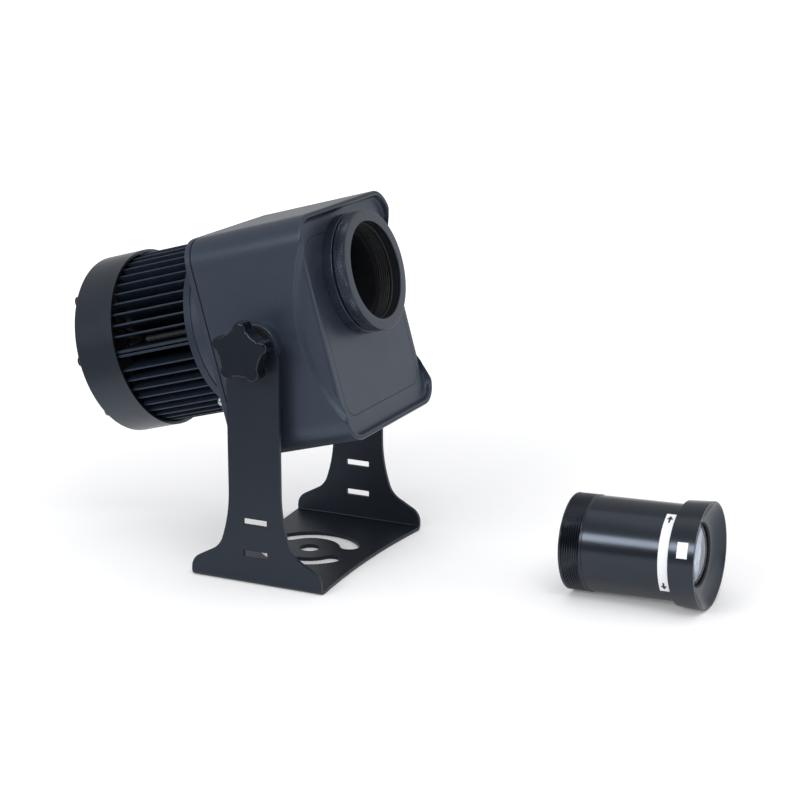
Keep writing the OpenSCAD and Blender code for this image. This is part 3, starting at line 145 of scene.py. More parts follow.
class RearSizes(bpy.types.PropertyGroup):
    """Sizes of heat sink, shroud and fan, along their common axis."""

    sink_radius: length("Sink radius", "Radius over the fins", 0.055)
    core_radius: length("Core radius", "Radius of the heat sink's core", 0.022)
    sink_front: length("Sink front", "Distance back to the heat sink's front", 0.048)
    sink_back: length("Sink back", "Distance back to the heat sink's rear end", 0.1075)
    base_thick: length("Base", "Thickness of the base disc", 0.005)
    fin_thick: length("Fin", "Thickness of a fin", 0.0012)
    rib_thick: length("Rib", "Width of a screw rib", 0.0044)
    rib_slot: length("Rib slot", "Width of the slot in a screw rib", 0.001)
    screw_circle: length("Screw circle", "Distance of the rib screws from the axis", 0.0505)
    first_fin: angle("First fin", "Angle from a rib to the next fin", 11.6)
    fins: whole("Fins", "Fins between two ribs", 10)
    shroud_back: length("Shroud back", "Distance back to the shroud's end", 0.1352)
    duct_radius: length("Duct radius", "Radius of the fan's duct", 0.038)
    fan_front: length("Fan front", "Distance back to the fan's front", 0.1082)
    fan_back: length("Fan back", "Distance back to the fan's rear", 0.1332)
    hub_radius: length("Hub radius", "Radius of the rotor's hub", 0.0165)
    blades: whole("Blades", "Blades of the fan", 7)
    fan_pitch: length("Fan pitch", "Distance between the fan's screws", 0.0715)
    wire: length("Guard wire", "Diameter of the guard's wire", 0.0015)


class KnobSizes(bpy.types.PropertyGroup):
    """Sizes of a clamping knob, outward along the tilt axis."""

    radius: length("Knob radius", "Radius over the lobes", 0.0193)
    lobe: length("Lobe radius", "Radius of a lobe's tip", 0.0041)
    hollow: length("Hollow radius", "Radius of the hollows between the lobes", 0.0134)
    hollow_at: length("Hollow centre", "Distance of the hollows' centres from the axis", 0.0273)
    lobes: whole("Lobes", "Number of lobes", 5)
    washer_out: length("Washer", "Distance out to the washer's outer face", 0.0723)
    back: length("Knob back", "Distance out to the knob's back", 0.0763)
    front: length("Knob face", "Distance out to the knob's face", 0.0869)
    hub: length("Hub radius", "Radius of the hub behind the knob", 0.0085)
    stud: length("Stud radius", "Radius of the clamping stud", 0.004)


class LensSizes(bpy.types.PropertyGroup):
    """Sizes of the loose lens, from its threaded end along its own axis."""

    thread_radius: length("Thread radius", "Radius of the lens's thread", 0.0298)
    thread_length: length("Thread length", "Length of the lens's thread", 0.015)
    tube_radius: length("Tube radius", "Radius of the tube", 0.0293)
    tube_length: length("Tube length", "Length of thread and tube", 0.0704)
    ring_back_radius: length("Ring back radius", "Radius of the front ring at the tube", 0.0319)
    rim_radius: length("Rim radius", "Radius of the front ring at its rim", 0.0327)
    length: length("Length", "Whole length of the lens", 0.0859)
    window: length("Window", "Radius of the opening in front of the glass", 0.0186)
    cone: length("Cone", "Depth of the cone in front of the glass", 0.0066)
    bore: length("Bore", "Bore of the tube", 0.025)
    glass_front: length("Front glass", "Distance to the front glass's rim", 0.0781)
    glass_edge: length("Glass edge", "Thickness of a glass at its edge", 0.005)
    rear_seat: length("Rear glass", "Distance to the rear glass's rim", 0.016)
    strip_from: length("Strip start", "Distance to the marked strip's rear edge", 0.0630)
    strip_to: length("Strip end", "Distance to the marked strip's front edge", 0.0690)
    thread_cut: length("Thread depth", "Depth of the lens's thread", 0.0009)


class FinishColours(bpy.types.PropertyGroup):
    """Colours of the finishes."""

    powder: colour("Powder coat", "Fine satin powder coat", (0.0200, 0.0255, 0.0385))
    anodised: colour("Anodising", "Black anodised turned pieces", (0.012, 0.016, 0.025))
    sink: colour("Heat sink", "Black anodised extrusion", (0.010, 0.015, 0.027))
    knob: colour("Knob", "Glossy black moulding", (0.0025, 0.0035, 0.0065))
    rubber: colour("Rubber", "Matte black rubber", (0.012, 0.012, 0.013))
    plastic: colour("Plastic", "Matte black moulding", (0.016, 0.017, 0.019))
    zinc: colour("Zinc", "Zinc plated steel", (0.60, 0.61, 0.63))
    brass: colour("Brass", "Turned brass", (0.72, 0.52, 0.23))
    paper: colour("Strip", "White marking strip", (0.78, 0.79, 0.82))
    ink: colour("Ink", "Black print", (0.02, 0.02, 0.022))
    floor: colour("Floor", "Pale studio floor", (0.90, 0.90, 0.905))


def head():
    return bpy.context.scene.gobo_head


def socket():
    return bpy.context.scene.gobo_socket


def rear():
    return bpy.context.scene.gobo_rear


def knob_sizes():
    return bpy.context.scene.gobo_knob


def lens():
    return bpy.context.scene.gobo_lens


def finish_colours():
    return bpy.context.scene.gobo_finish


def in_head(up=0.0):
    """Places x to the right, y up and z forward along the light, from the tilt axis."""
    return (
        Matrix.Translation(middle("friction_washers"))
        @ Matrix.Rotation(math.pi / 2 - head().tilt, 4, "X")
        @ Matrix.Translation((0, up, 0))
    )


def on_lens_axis():
    return in_head(head().lens_up)


def on_sink_axis():
    return in_head(head().sink_up)


def in_loose_lens():
    """Places z along the loose lens, from its threaded end to its rim, as it lies on the floor."""
    s = lens()
    drop = s.rim_radius - s.thread_radius
    tilt = math.asin(drop / math.hypot(s.length, drop))
    end = Vector((middle("lens_barrel").x, corner("lens_barrel", False).y, 0))
    end.y -= s.thread_radius * math.sin(tilt)
    end.z = s.thread_radius * math.cos(tilt)
    return Matrix.Translation(end) @ Matrix.Rotation(math.pi / 2 - tilt, 4, "X")


def outward(side):
    """Places z outward along the tilt axis and x up, on the left (-1) or on the right (1)."""
    turned_out = Matrix.Rotation(-math.pi / 2, 4, "Y")
    flip = Matrix.Identity(4) if side < 0 else Matrix.Scale(-1, 4, (1, 0, 0))
    return flip @ Matrix.Translation(middle("friction_washers")) @ turned_out


# Materials


class Nodes:
    """Shortcuts for building a node tree."""

    def __init__(self, tree):
        self.tree = tree

    def node(self, kind, **values):
        made = self.tree.nodes.new(kind)
        for key, value in values.items():
            setattr(made, key, value)
        return made

    def link(self, source, target):
        self.tree.links.new(source, target)

    def spread(self, value, start, end, low, high, kind="LINEAR"):
        """Maps a value to low before start and to high past end."""
        made = self.node("ShaderNodeMapRange", interpolation_type=kind)
        self.link(value, made.inputs["Value"])
        for name, number in (("From Min", start), ("From Max", end), ("To Min", low), ("To Max", high)):
            made.inputs[name].default_value = number
        return made.outputs["Result"]

    def along(self, place, direction):
        """How far a place lies in a direction."""
        made = self.node("ShaderNodeVectorMath", operation="DOT_PRODUCT")
        made.inputs[1].default_value = direction
        self.link(place, made.inputs[0])
        return made.outputs["Value"]

    def product(self, first, second):
        made = self.node("ShaderNodeMath", operation="MULTIPLY")
        self.link(first, made.inputs[0])
        self.link(second, made.inputs[1])
        return made.outputs["Value"]


class Finish(Nodes):
    """A Principled material with helpers for its patterns, all on Object coordinates."""

    # The middle of a noise's range, which its patterns are spread over
    noise_low, noise_high = 0.3, 0.7

    def __init__(self, name, base, roughness, metallic=0.0):
        self.material = bpy.data.materials.new(f"{name}_finish")
        self.material.use_nodes = True
        super().__init__(self.material.node_tree)
        self.shader = self.tree.nodes["Principled BSDF"]
        self.base = (*base, 1)
        self.set(Base_Color=self.base, Roughness=roughness, Metallic=metallic)
        self.place = self.node("ShaderNodeTexCoord").outputs["Object"]
        self.normal = None

    def set(self, **sockets):
        """Sets constants on the shader's own sockets."""
        for key, value in sockets.items():
            self.shader.inputs[key.replace("_", " ")].default_value = value
        return self

    def noise(self, size, detail, stretch=(1, 1, 1)):
        """A noise whose grains are about size across."""
        mapping = self.node("ShaderNodeMapping")
        mapping.inputs["Scale"].default_value = stretch
        self.link(self.place, mapping.inputs["Vector"])
        made = self.node("ShaderNodeTexNoise")
        made.inputs["Scale"].default_value = 1 / size
        made.inputs["Detail"].default_value = detail
        self.link(mapping.outputs["Vector"], made.inputs["Vector"])
        return made.outputs["Fac"]

    def bump(self, height, depth, strength):
        made = self.node("ShaderNodeBump")
        made.inputs["Distance"].default_value = depth
        made.inputs["Strength"].default_value = strength
        self.link(height, made.inputs["Height"])
        if self.normal:
            self.link(self.normal, made.inputs["Normal"])
        self.normal = made.outputs["Normal"]
        self.link(self.normal, self.shader.inputs["Normal"])
        return self

    def grain(self, size, depth, strength):
        """A fine all-over grain in the surface."""
        return self.bump(self.noise(size, 2.0), depth, strength)

    def mottle(self, size, low, high, detail=3.0):
        """Slight cloudiness of the colour between two brightness factors."""
        factor = self.spread(self.noise(size, detail), self.noise_low, self.noise_high, low, high)
        mix = self.node("ShaderNodeVectorMath", operation="SCALE")
        mix.inputs[0].default_value = self.base[:3]
        self.link(factor, mix.inputs["Scale"])
        self.link(mix.outputs["Vector"], self.shader.inputs["Base Color"])
        return self

    def patchy(self, size, low, high):
        """Slight changes of the gloss over the surface."""
        gloss = self.spread(self.noise(size, 4.0), self.noise_low, self.noise_high, low, high)
        self.link(gloss, self.shader.inputs["Roughness"])
        return self

    def turned_lines(self, place, pitch, depth):
        """Fine lines left by the lathe, across an axis that place puts along z."""
        back = place.inverted()
        mapping = self.node("ShaderNodeMapping")
        mapping.inputs["Location"].default_value = back.to_translation()
        mapping.inputs["Rotation"].default_value = back.to_euler()
        self.link(self.place, mapping.inputs["Vector"])
        wave = self.node("ShaderNodeTexWave", wave_type="BANDS", bands_direction="Z", wave_profile="SIN")
        waves_per_unit = 20
        wave.inputs["Scale"].default_value = 1 / (pitch * waves_per_unit)
        wave.inputs["Distortion"].default_value = 0.1
        wave.inputs["Detail"].default_value = 1.0
        wave.inputs["Detail Scale"].default_value = 3.0
        self.link(mapping.outputs["Vector"], wave.inputs["Vector"])
        return self.bump(wave.outputs["Fac"], depth, 0.6)


def sheen(level, *tint):
    """Settings for how strongly a coat shines, and in which tint."""
    return {"Specular_IOR_Level": level, "Specular_Tint": (*tint, 1)}


def powder_coat(name, depth, gloss, shine):
    base = [part * depth for part in finish_colours().powder]
    made = Finish(name, base, gloss).set(**sheen(shine, 0.66, 0.80, 1.0))
    made.mottle(0.0025, 0.93, 1.07).patchy(0.012, gloss - 0.02, gloss + 0.03)
    return made.grain(0.0007, 0.00003, 0.35).material


def anodised(name, place, depth, roughness, shine):
    base = [part * depth for part in finish_colours().anodised]
    made = Finish(name, base, roughness).set(**sheen(shine, 0.72, 0.83, 1.0))
    made.mottle(0.003, 0.96, 1.04).patchy(0.01, roughness - 0.005, roughness + 0.01)
    return made.turned_lines(place, 0.0004, 0.000008).material


def sink_anodising(name):
    made = Finish(name, finish_colours().sink, 0.40).set(**sheen(0.6, 0.70, 0.82, 1.0))
    lines = made.noise(0.0009, 1.0, (1, 0.04, 1))
    return made.mottle(0.004, 0.8, 1.2).patchy(0.01, 0.36, 0.46).bump(lines, 0.00002, 0.5).material


def glossy_moulding(name, base):
    made = Finish(name, base, 0.10).set(**sheen(0.5, 0.72, 0.85, 1.0))
    return made.mottle(0.01, 0.9, 1.1).patchy(0.008, 0.05, 0.11).grain(0.004, 0.00002, 0.25).material


def matte_moulding(name, base):
    made = Finish(name, base, 0.6).mottle(0.003, 0.85, 1.15).patchy(0.004, 0.54, 0.68)
    return made.grain(0.0005, 0.00003, 0.5).material


def rubber(name):
    made = Finish(name, finish_colours().rubber, 0.8).set(Specular_IOR_Level=0.35)
    return made.mottle(0.002, 0.8, 1.2).grain(0.0004, 0.00005, 0.6).material


def plated(name, base, roughness=0.26):
    made = Finish(name, base, roughness, 1.0)
    made.mottle(0.002, 0.86, 1.08).patchy(0.002, roughness - 0.06, roughness + 0.1)
    return made.grain(0.0006, 0.00001, 0.4).material


def blackened(name):
    made = Finish(name, (0.03, 0.03, 0.034), 0.38, 0.6)
    return made.mottle(0.002, 0.8, 1.2).patchy(0.002, 0.3, 0.45).grain(0.0005, 0.00001, 0.4).material


def glass(name, tint, coat_tint):
    made = Finish(name, tint, 0.015).set(Transmission_Weight=1.0, IOR=1.52, Coat_Weight=0.3, Coat_IOR=1.38)
    made.set(Coat_Tint=(*coat_tint, 1), Coat_Roughness=0.01)
    return made.mottle(0.02, 0.985, 1.0).patchy(0.01, 0.008, 0.03).material


def board(name, base):
    made = Finish(name, base, 0.42).set(Specular_IOR_Level=0.5)
    return made.mottle(0.003, 0.75, 1.2, 5.0).patchy(0.002, 0.36, 0.5).material


def wound_tape(name):
    made = Finish(name, (0.72, 0.60, 0.22), 0.35)
    return made.mottle(0.002, 0.8, 1.1).grain(0.001, 0.00005, 0.4).material


def phosphor(name):
    made = Finish(name, (0.92, 0.76, 0.16), 0.3).set(Subsurface_Weight=0.2)
    return made.mottle(0.0008, 0.85, 1.1).material


def printed(name, base, roughness):
    made = Finish(name, base, roughness)
    return made.mottle(0.0015, 0.96, 1.02).grain(0.0003, 0.00001, 0.3).material


def finish_of(name):
    """The finish of a record slot or of one of the scene's own pieces; all are made at the first call."""
    if not FINISHES:
        c = finish_colours()
        for material in (
            powder_coat("powder_steel", 0.34, 0.40, 0.54),
            powder_coat("shroud_coat", 0.16, 0.30, 0.85),
            powder_coat("powder_cast", 0.95, 0.36, 0.74),
            anodised("black_anodised", on_lens_axis(), 1.0, 0.27, 0.65),
            anodised("loose_anodised", in_loose_lens(), 0.25, 0.21, 0.75),
            # Matte black for bores and dark inner parts, darker than the anodising, so that it also paints in
            # the shade deep inside the bores
            matte_moulding("bore_black", (0.0022, 0.0030, 0.0050)),
            sink_anodising("sink_anodised"),
            glossy_moulding("knob_black", c.knob),
            plated("zinc_steel", c.zinc),
            blackened("black_steel"),
            plated("brass", c.brass),
            plated("bare_aluminium", (0.66, 0.67, 0.69), 0.34),
            rubber("rubber_black"),
            matte_moulding("plastic_black", c.plastic),
            glass("clear_glass", (0.97, 0.99, 1.0), (0.75, 0.85, 1.0)),
            glass("gobo_glass", (0.95, 0.97, 0.98), (0.95, 0.9, 0.8)),
            board("board_green", (0.02, 0.16, 0.06)),
            board("board_white", (0.78, 0.78, 0.74)),
            phosphor("phosphor"),
            wound_tape("winding_tape"),
            glossy_moulding("capacitor_sleeve", (0.02, 0.03, 0.12)),
            printed("strip_paper", c.paper, 0.5),
            printed("strip_ink", c.ink, 0.55),
        ):
            FINISHES[material.name.removesuffix("_finish")] = material
    return FINISHES[name]


def slot_of(node):
    """The record's material slot of a CAD node."""
    return next(part["material_slot"] for part in frame["record"]["subparts"] if part["node"] == node)


def dress(node, finish=None):
    """Gives a CAD node that stays in view its finish."""
    shown = frame["nodes"][node]
    shown.data.materials.clear()
    shown.data.materials.append(finish_of(finish or slot_of(node)))


# Shapes


def shade(bm, limit):
    """Smooth faces, with edges sharper than limit kept sharp."""
    for face in bm.faces:
        face.smooth = True
    for edge in bm.edges:
        if len(edge.link_faces) == 2:
            edge.smooth = edge.calc_face_angle(0) < math.radians(limit)


def new_piece(name, bm, place, body, slot_name, stands_for=(), finish=None, limit=32, flat_first=True):
    """Finishes a bmesh as a piece: in place, facing outwards, riding on its body."""
    bmesh.ops.remove_doubles(bm, verts=bm.verts, dist=2e-6)
    bmesh.ops.dissolve_degenerate(bm, edges=bm.edges, dist=1e-7)
    bmesh.ops.transform(bm, matrix=place, verts=bm.verts)
    bmesh.ops.recalc_face_normals(bm, faces=bm.faces)
    shade(bm, limit)
    mesh = bpy.data.meshes.new(name)
    bm.to_mesh(mesh)
    bm.free()
    piece = bpy.data.objects.new(name, mesh)
    bpy.context.scene.collection.objects.link(piece)
    mesh.materials.append(finish_of(finish or slot_name))
    if flat_first:
        piece.modifiers.new("even_shading", "WEIGHTED_NORMAL").keep_sharp = True
    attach(piece, body)
    if stands_for:
        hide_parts(*stands_for)
    return piece


def lofted(rings, closed=True):
    """A skin through rings of points that all have the same count, from an operator's grid."""
    around, rows = len(rings[0]), len(rings)
    bm = bmesh.new()
    made = bmesh.ops.create_grid(bm, x_segments=around, y_segments=rows if closed else rows - 1, size=1)
    bm.verts.ensure_lookup_table()
    for index, vert in enumerate(made["verts"]):
        row, column = divmod(index, around + 1)
        vert.co = rings[row % rows][column % around]
    bmesh.ops.remove_doubles(bm, verts=bm.verts, dist=1e-7)
    return bm


def add_to(bm, other):
    """Adds another bmesh as separate solids of the same piece."""
    mesh = bpy.data.meshes.new("joined")
    other.to_mesh(mesh)
    other.free()
    bm.from_mesh(mesh)
    bpy.data.meshes.remove(mesh)
    return bm


def moved(bm, step):
    """Shifts a bmesh by a step."""
    bmesh.ops.translate(bm, vec=step, verts=bm.verts)
    return bm


def rolled(bm, angle, axis="Z"):
    """Turns a bmesh round an axis through the origin."""
    bmesh.ops.rotate(bm, matrix=Matrix.Rotation(angle, 3, axis), verts=bm.verts)
    return bm


def ease(bm, geom, offset, segments, affect="EDGES", clamp=False):
    """Rounds these edges or corners off."""
    bmesh.ops.bevel(
        bm,
        geom=geom,
        offset=offset,
        offset_type="OFFSET",
        affect=affect,
        segments=segments,
        profile=0.5,
        clamp_overlap=clamp,
        material=-1,
    )


def spun(bm, steps):
    """Turns an outline once round z."""
    outline = bm.verts[:] + bm.edges[:]
    axis = {"axis": (0, 0, 1), "cent": (0, 0, 0)}
    bmesh.ops.spin(bm, geom=outline, angle=FULL_TURN, steps=steps, use_merge=True, **axis)
    bmesh.ops.remove_doubles(bm, verts=bm.verts, dist=1e-6)
    return bm


def turned(profile, rounding=0.0003, steps=144):
    """A solid turned about z from a closed outline of radius and height, with rounded corners."""
    bm = bmesh.new()
    verts = [bm.verts.new((radius, 0, height)) for radius, height in profile]
    bm.faces.new(verts)
    ease(bm, [v for v in verts if v.co.x > 1e-6], rounding, 3, "VERTICES")
    bmesh.ops.delete(bm, geom=bm.faces[:], context="FACES_ONLY")
    return spun(bm, steps)


def sleeve(inner, outer, start, end, rounding=0.0003, steps=144):
    """A turned tube between two heights, or a disc where inner is 0."""
    return turned([(inner, start), (outer, start), (outer, end), (inner, end)], rounding, steps)


def soft_copy(node, body, rounding, finish=None):
    """Shows a merged copy of a CAD node with its sharp edges rounded, in its place."""
    bm = bmesh.new()
    bm.from_mesh(frame["nodes"][node].data)
    bmesh.ops.remove_doubles(bm, verts=bm.verts, dist=1e-6)
    bmesh.ops.dissolve_limit(bm, angle_limit=math.radians(0.2), verts=bm.verts, edges=bm.edges)
    sharp = [e for e in bm.edges if len(e.link_faces) == 2 and e.calc_face_angle(0) > math.radians(40)]
    ease(bm, sharp, rounding, 2, clamp=True)
    new_piece(f"{node}_shown", bm, Matrix.Identity(4), body, slot_of(node), (node,), finish)


def block(size, centre):
    """A box of this size round its centre."""
    bm = bmesh.new()
    bmesh.ops.create_cube(bm, size=1, matrix=Matrix.Translation(centre) @ Matrix.Diagonal((*size, 1)))
    return bm


def rod(radius, start, end, sides):
    """A straight rod along z."""
    bm = bmesh.new()
    halfway = Matrix.Translation((0, 0, (start + end) / 2))
    radii = {"radius1": radius, "radius2": radius}
    bmesh.ops.create_cone(bm, cap_ends=True, segments=sides, depth=end - start, matrix=halfway, **radii)
    return bm


def smooth_least(a, b, softness):
    """The smaller of two heights, with a soft change between them."""
    blend = max(softness - abs(a - b), 0) / softness
    return min(a, b) - blend * blend * softness / 4


def smooth_most(a, b, softness):
    return -smooth_least(-a, -b, softness)


def round_ring(radius, height, count):
    """One ring of points; radius may be a function of the angle."""
    points = []
    for index in range(count):
        angle = FULL_TURN * index / count
        reach = radius(angle) if callable(radius) else radius
        points.append(Vector((reach * math.cos(angle), reach * math.sin(angle), height)))
    return points


def rings_of(profile, count):
    """Rings of points along an outline of radius and height."""
    return [round_ring(radius, height, count) for radius, height in profile]


# The cast front


class Outline:
    """Stations round the housing's outline, from which inset rounded rectangles are drawn."""

    straight_steps = (100, 12, 100, 12)
    corner_steps = 12

    def __init__(self):
        self.stations = []
        for quarter, steps in enumerate(self.straight_steps):
            self.stations += [(quarter, "side", step / steps) for step in range(steps)]
            corner_shares = [step / self.corner_steps for step in range(self.corner_steps)]
            self.stations += [(quarter, "corner", share) for share in corner_shares]

    def ring(self, half_width, half_height, radius):
        """Points of one rounded rectangle, anticlockwise from the right side's lower end."""
        points = []
        for quarter, kind, share in self.stations:
            reach, side = (half_width, half_height) if quarter % 2 == 0 else (half_height, half_width)
            if kind == "side":
                local = Vector((reach, -(side - radius) + 2 * (side - radius) * share))
            else:
                angle = share * math.pi / 2
                local = Vector((reach - radius, side - radius))
                local += Vector((math.cos(angle), math.sin(angle))) * radius
            points.append(Matrix.Rotation(quarter * math.pi / 2, 2) @ local)
        return points

    def inset(self, distance):
        s = head()
        radius = max(s.corner_radius - distance, 0.001)
        return self.ring(s.half_width - distance, s.half_height - distance, radius)


def scoop_height(distance, up):
    """How far forward the scoop lets the casting reach, this far in from its side."""
    s = head()
    from_wall = s.cove - s.lip_in + distance
    radius = s.scoop_radius - s.cove
    if from_wall < s.cove:
        radius += math.sqrt(s.cove**2 - from_wall**2)
    if distance > s.lip_in:
        radius = s.scoop_radius
    return s.scoop_centre - math.sqrt(max(radius**2 - up**2, 0))


def cast_height(distance, up, ear):
    """Height of the casting: the ear's own profile, or the scoop where that is lower."""
    s = head()
    cut = scoop_height(distance, up)
    if distance > s.lip_in:
        run = min((distance - s.lip_in) / s.face_round, 1)
        edge = s.face - s.face_round * (1 - math.sqrt(1 - (1 - run) ** 2))
        cut = smooth_most(edge, cut, s.blend)
    above_face = min(max((ear - s.face) / s.blend, 0.02), 1)
    return smooth_least(ear, cut, s.blend * above_face)


def edge_drop(distance):
    """How much the rounding of the housing's outer edge takes off, this far in from its side."""
    soft = head().rim_round
    share = 1 - min(distance / soft, 1)
    return soft * (1 - math.sqrt(1 - share**2))


def cast_rings(outline, profile):
    """Rings of the casting, from a list of inset, height at the ears and whether the scoop cuts it."""
    top_half = 0.04
    rings = []
    for distance, ear, is_cut in profile:
        ring = []
        for point in outline.inset(distance):
            height = cast_height(distance, point.y, ear) if is_cut and abs(point.x) > top_half else ear
            height -= edge_drop(distance) if is_cut else 0
            ring.append(Vector((point.x, point.y, height)))
        rings.append(ring)
    return rings


def add_corner_posts(bm, radius, start, end, inset):
    """Adds the four screw posts, this far in from the housing's sides."""
    s = head()
    for side in (-1, 1):
        for up in (-1, 1):
            spot = (side * (s.half_width - inset), up * (s.half_height - inset), 0)
            add_to(bm, moved(rod(radius, start, end, 24), spot))


class GOBO_OT_housing(bpy.types.Operator):
    """Builds the housing's cast shell with its rounded rim and scooped sides."""

    bl_idname = "gobo.housing"
    bl_label = "Housing shell"
    post_radius, post_inset, post_front = 0.0037, 0.0075, 0.0236
    boss_bore, boss_sunk, boss_round = 0.0072, 0.003, 0.0006

    def execute(self, context):
        s = head()
        flange_seat = s.rim - 0.0012
        rim = [(0.0, -s.rear + 0.0004, False)]
        rim += [(s.rim_round * share, s.rim, True) for share in (0.0, 0.03, 0.1, 0.22, 0.4, 0.65, 1.0)]
        rim += [
            (s.rim_step - 0.0001, s.rim - 0.00002, True),
            (s.rim_step, s.rim - 0.0004, True),
            (s.rim_step + 0.00002, flange_seat, True),
            (s.wall, flange_seat, True),
            (s.wall, -s.rear, False),
            (0.0004, -s.rear, False),
        ]
        bm = lofted(cast_rings(Outline(), rim))
        add_corner_posts(bm, self.post_radius, -s.rear + 0.0002, self.post_front, self.post_inset)
        new_piece("housing_casting", bm, in_head(), "head", "powder_cast", ("housing_shell",))
        boss_out = abs(corner("pivot_inserts", True).x)
        boss_in = s.half_width - s.wall - self.boss_sunk
        for side, label in SIDES:
            boss = sleeve(self.boss_bore, s.boss_radius, boss_in, boss_out, self.boss_round, 96)
            new_piece(f"housing_boss_{label}", boss, outward(side), "head", "powder_cast")
        return {"FINISHED"}


class GOBO_OT_front_bezel(bpy.types.Operator):
    """Builds the cast bezel: lip and groove at the ears, scooped sides and the seat of the cover."""

    bl_idname = "gobo.front_bezel"
    bl_label = "Front bezel"
    post_radius, post_inset = 0.0039, 0.009
    # Across from the flange's edge and down from the rim, over the lip and down its inner wall
    lip = (
        (0.0, 0.0011),
        (0.0, 0.0003),
        (0.0001, 0.0),
        (0.0004, 0.0),
        (0.0008, 0.0),
        (0.0012, 0.0001),
        (0.0015, 0.0004),
        (0.0017, 0.0009),
        (0.00185, 0.0016),
        (0.0020, 0.0024),
        (0.0022, 0.0031),
    )
    # Across from the flange's edge and up from the face, where the lip's wall runs into the face
    foot = ((0.0026, 0.0004), (0.0034, 0.0001), (0.0045, 0.0), (0.0054, 0.0))

    def execute(self, context):
        s = head()
        outline = Outline()
        tray = s.wall + 0.00006
        flange = s.rim_step + 0.00012
        back = s.rim - 0.021
        profile = [(tray, back, False), (tray, s.rim - self.lip[0][1], True)]
        profile += [(flange + across, s.rim - down, True) for across, down in self.lip]
        profile += [(flange + across, s.face + up, True) for across, up in self.foot]
        rings = cast_rings(outline, profile)
        open_width = s.cover_half_width + s.seam / 2
        open_height = s.cover_half_height + s.seam / 2
        ledge = (s.cover_half_width - 0.006, s.cover_half_height - 0.0017, 0.007)
        frame_inside = (s.half_width - tray - 0.004, s.half_height - tray - 0.004, 0.010)
        seat = s.face - s.cover_thick
        ledge_back = seat - 0.0025
        for (width, height, radius), forward in (
            ((open_width + 0.0002, open_height + 0.0002, s.cover_radius + s.seam), s.face),
            ((open_width, open_height, s.cover_radius), s.face - 0.0002),
            ((open_width, open_height, s.cover_radius), seat),
            (ledge, seat),
            (ledge, ledge_back),
            (frame_inside, ledge_back),
            (frame_inside, back),
        ):
            rings.append([Vector((p.x, p.y, forward)) for p in outline.ring(width, height, radius)])
        bm = lofted(rings)
        add_corner_posts(bm, self.post_radius, back + 0.0002, s.face - 0.004, self.post_inset)
        new_piece("bezel_casting", bm, in_head(), "head", "powder_cast", ("front_bezel",), flat_first=False)
        return {"FINISHED"}


class GOBO_OT_front_cover(bpy.types.Operator):
    """Builds the flush front cover with its rounded edge."""

    bl_idname = "gobo.front_cover"
    bl_label = "Front cover"

    def execute(self, context):
        soft_copy("front_cover", "head", 0.0002)
        return {"FINISHED"}


# Lens socket and ring


def thread_radius(radius, depth, pitch, height, angle, start, end):
    """Radius of a screw thread at this height and angle, run out at both ends."""
    phase = (height / pitch - angle / FULL_TURN) % 1
    fade = min(1, max(0, (height - start) / pitch), max(0, (end - height) / pitch))
    return radius + depth * abs(2 * phase - 1) * fade


def threaded_rings(radius, depth, pitch, start, end, count):
    """Rings of a true helical thread, cut outwards by depth or inwards where it is negative."""
    rows = max(2, round((end - start) / pitch * 6))
    heights = [start + (end - start) * row / rows for row in range(rows + 1)]
    return [
        round_ring(lambda a, h=height: thread_radius(radius, depth, pitch, h, a, start, end), height, count)
        for height in heights
    ]


def paint_shade_inside(piece, place, radius):
    """Gives the faces nearer to the axis than radius a matte black darker than the anodising: the bore's own
    black, with the shade deep in the bore painted in.
    """
    piece.data.materials.append(finish_of("bore_black"))
    back = place.inverted()
    for face in piece.data.polygons:
        if (back @ face.center).xy.length < radius:
            face.material_index = 1


class GOBO_OT_lens_socket(bpy.types.Operator):
    """Builds the collar and nose of the lens socket with its screw thread."""

    bl_idname = "gobo.lens_socket"
    bl_label = "Lens socket"

    def execute(self, context):
        s = socket()
        count = 144
        face = head().face
        collar, collar_front = s.collar_radius, s.collar_front
        nose, nose_front = s.nose_radius, s.nose_front
        thread_from = nose_front - s.thread_depth
        mouth = nose_front - 0.0038
        groove = (s.ring_back + s.ring_lip) / 2
        groove_back, groove_front, groove_foot = groove - 0.00145, groove + 0.00145, nose - 0.0009
        stop, stop_back, stop_front = s.barrel_bore - 0.0015, 0.020, 0.022
        outside = (
            (s.barrel_radius, s.barrel_back),
            (s.barrel_radius, face),
            (collar, face),
            (collar, collar_front - 0.0006),
            (collar - 0.0001, collar_front - 0.0003),
            (collar - 0.0003, collar_front - 0.0001),
            (collar - 0.0006, collar_front),
            (nose, collar_front),
            (nose, groove_back),
            (groove_foot, groove_back),
            (groove_foot, groove_front),
            (nose, groove_front),
            (nose, nose_front - 0.0003),
            (nose - 0.0003, nose_front),
            (s.thread_radius + 0.0004, nose_front),
            (s.thread_radius + 0.0003, mouth),
            (s.thread_radius - 0.0003, mouth - 0.0006),
        )
        inside = (
            (s.barrel_bore, thread_from),
            (s.barrel_bore, stop_front),
            (stop, stop_front),
            (stop, stop_back),
            (s.barrel_bore, stop_back),
            (s.barrel_bore, s.barrel_back),
        )
        thread = threaded_rings(
            s.thread_radius - 0.0004, 0.0005, s.thread_pitch, thread_from, mouth - 0.0007, count
        )
        bm = lofted(rings_of(outside, count) + thread[::-1] + rings_of(inside, count))
        piece = new_piece("socket_collar", bm, on_lens_axis(), "head", "black_anodised", ("lens_collar",))
        # The thread and bore inside the nose get the bore's black, which paints in their shade
        paint_shade_inside(piece, on_lens_axis(), nose - 0.0012)
        return {"FINISHED"}


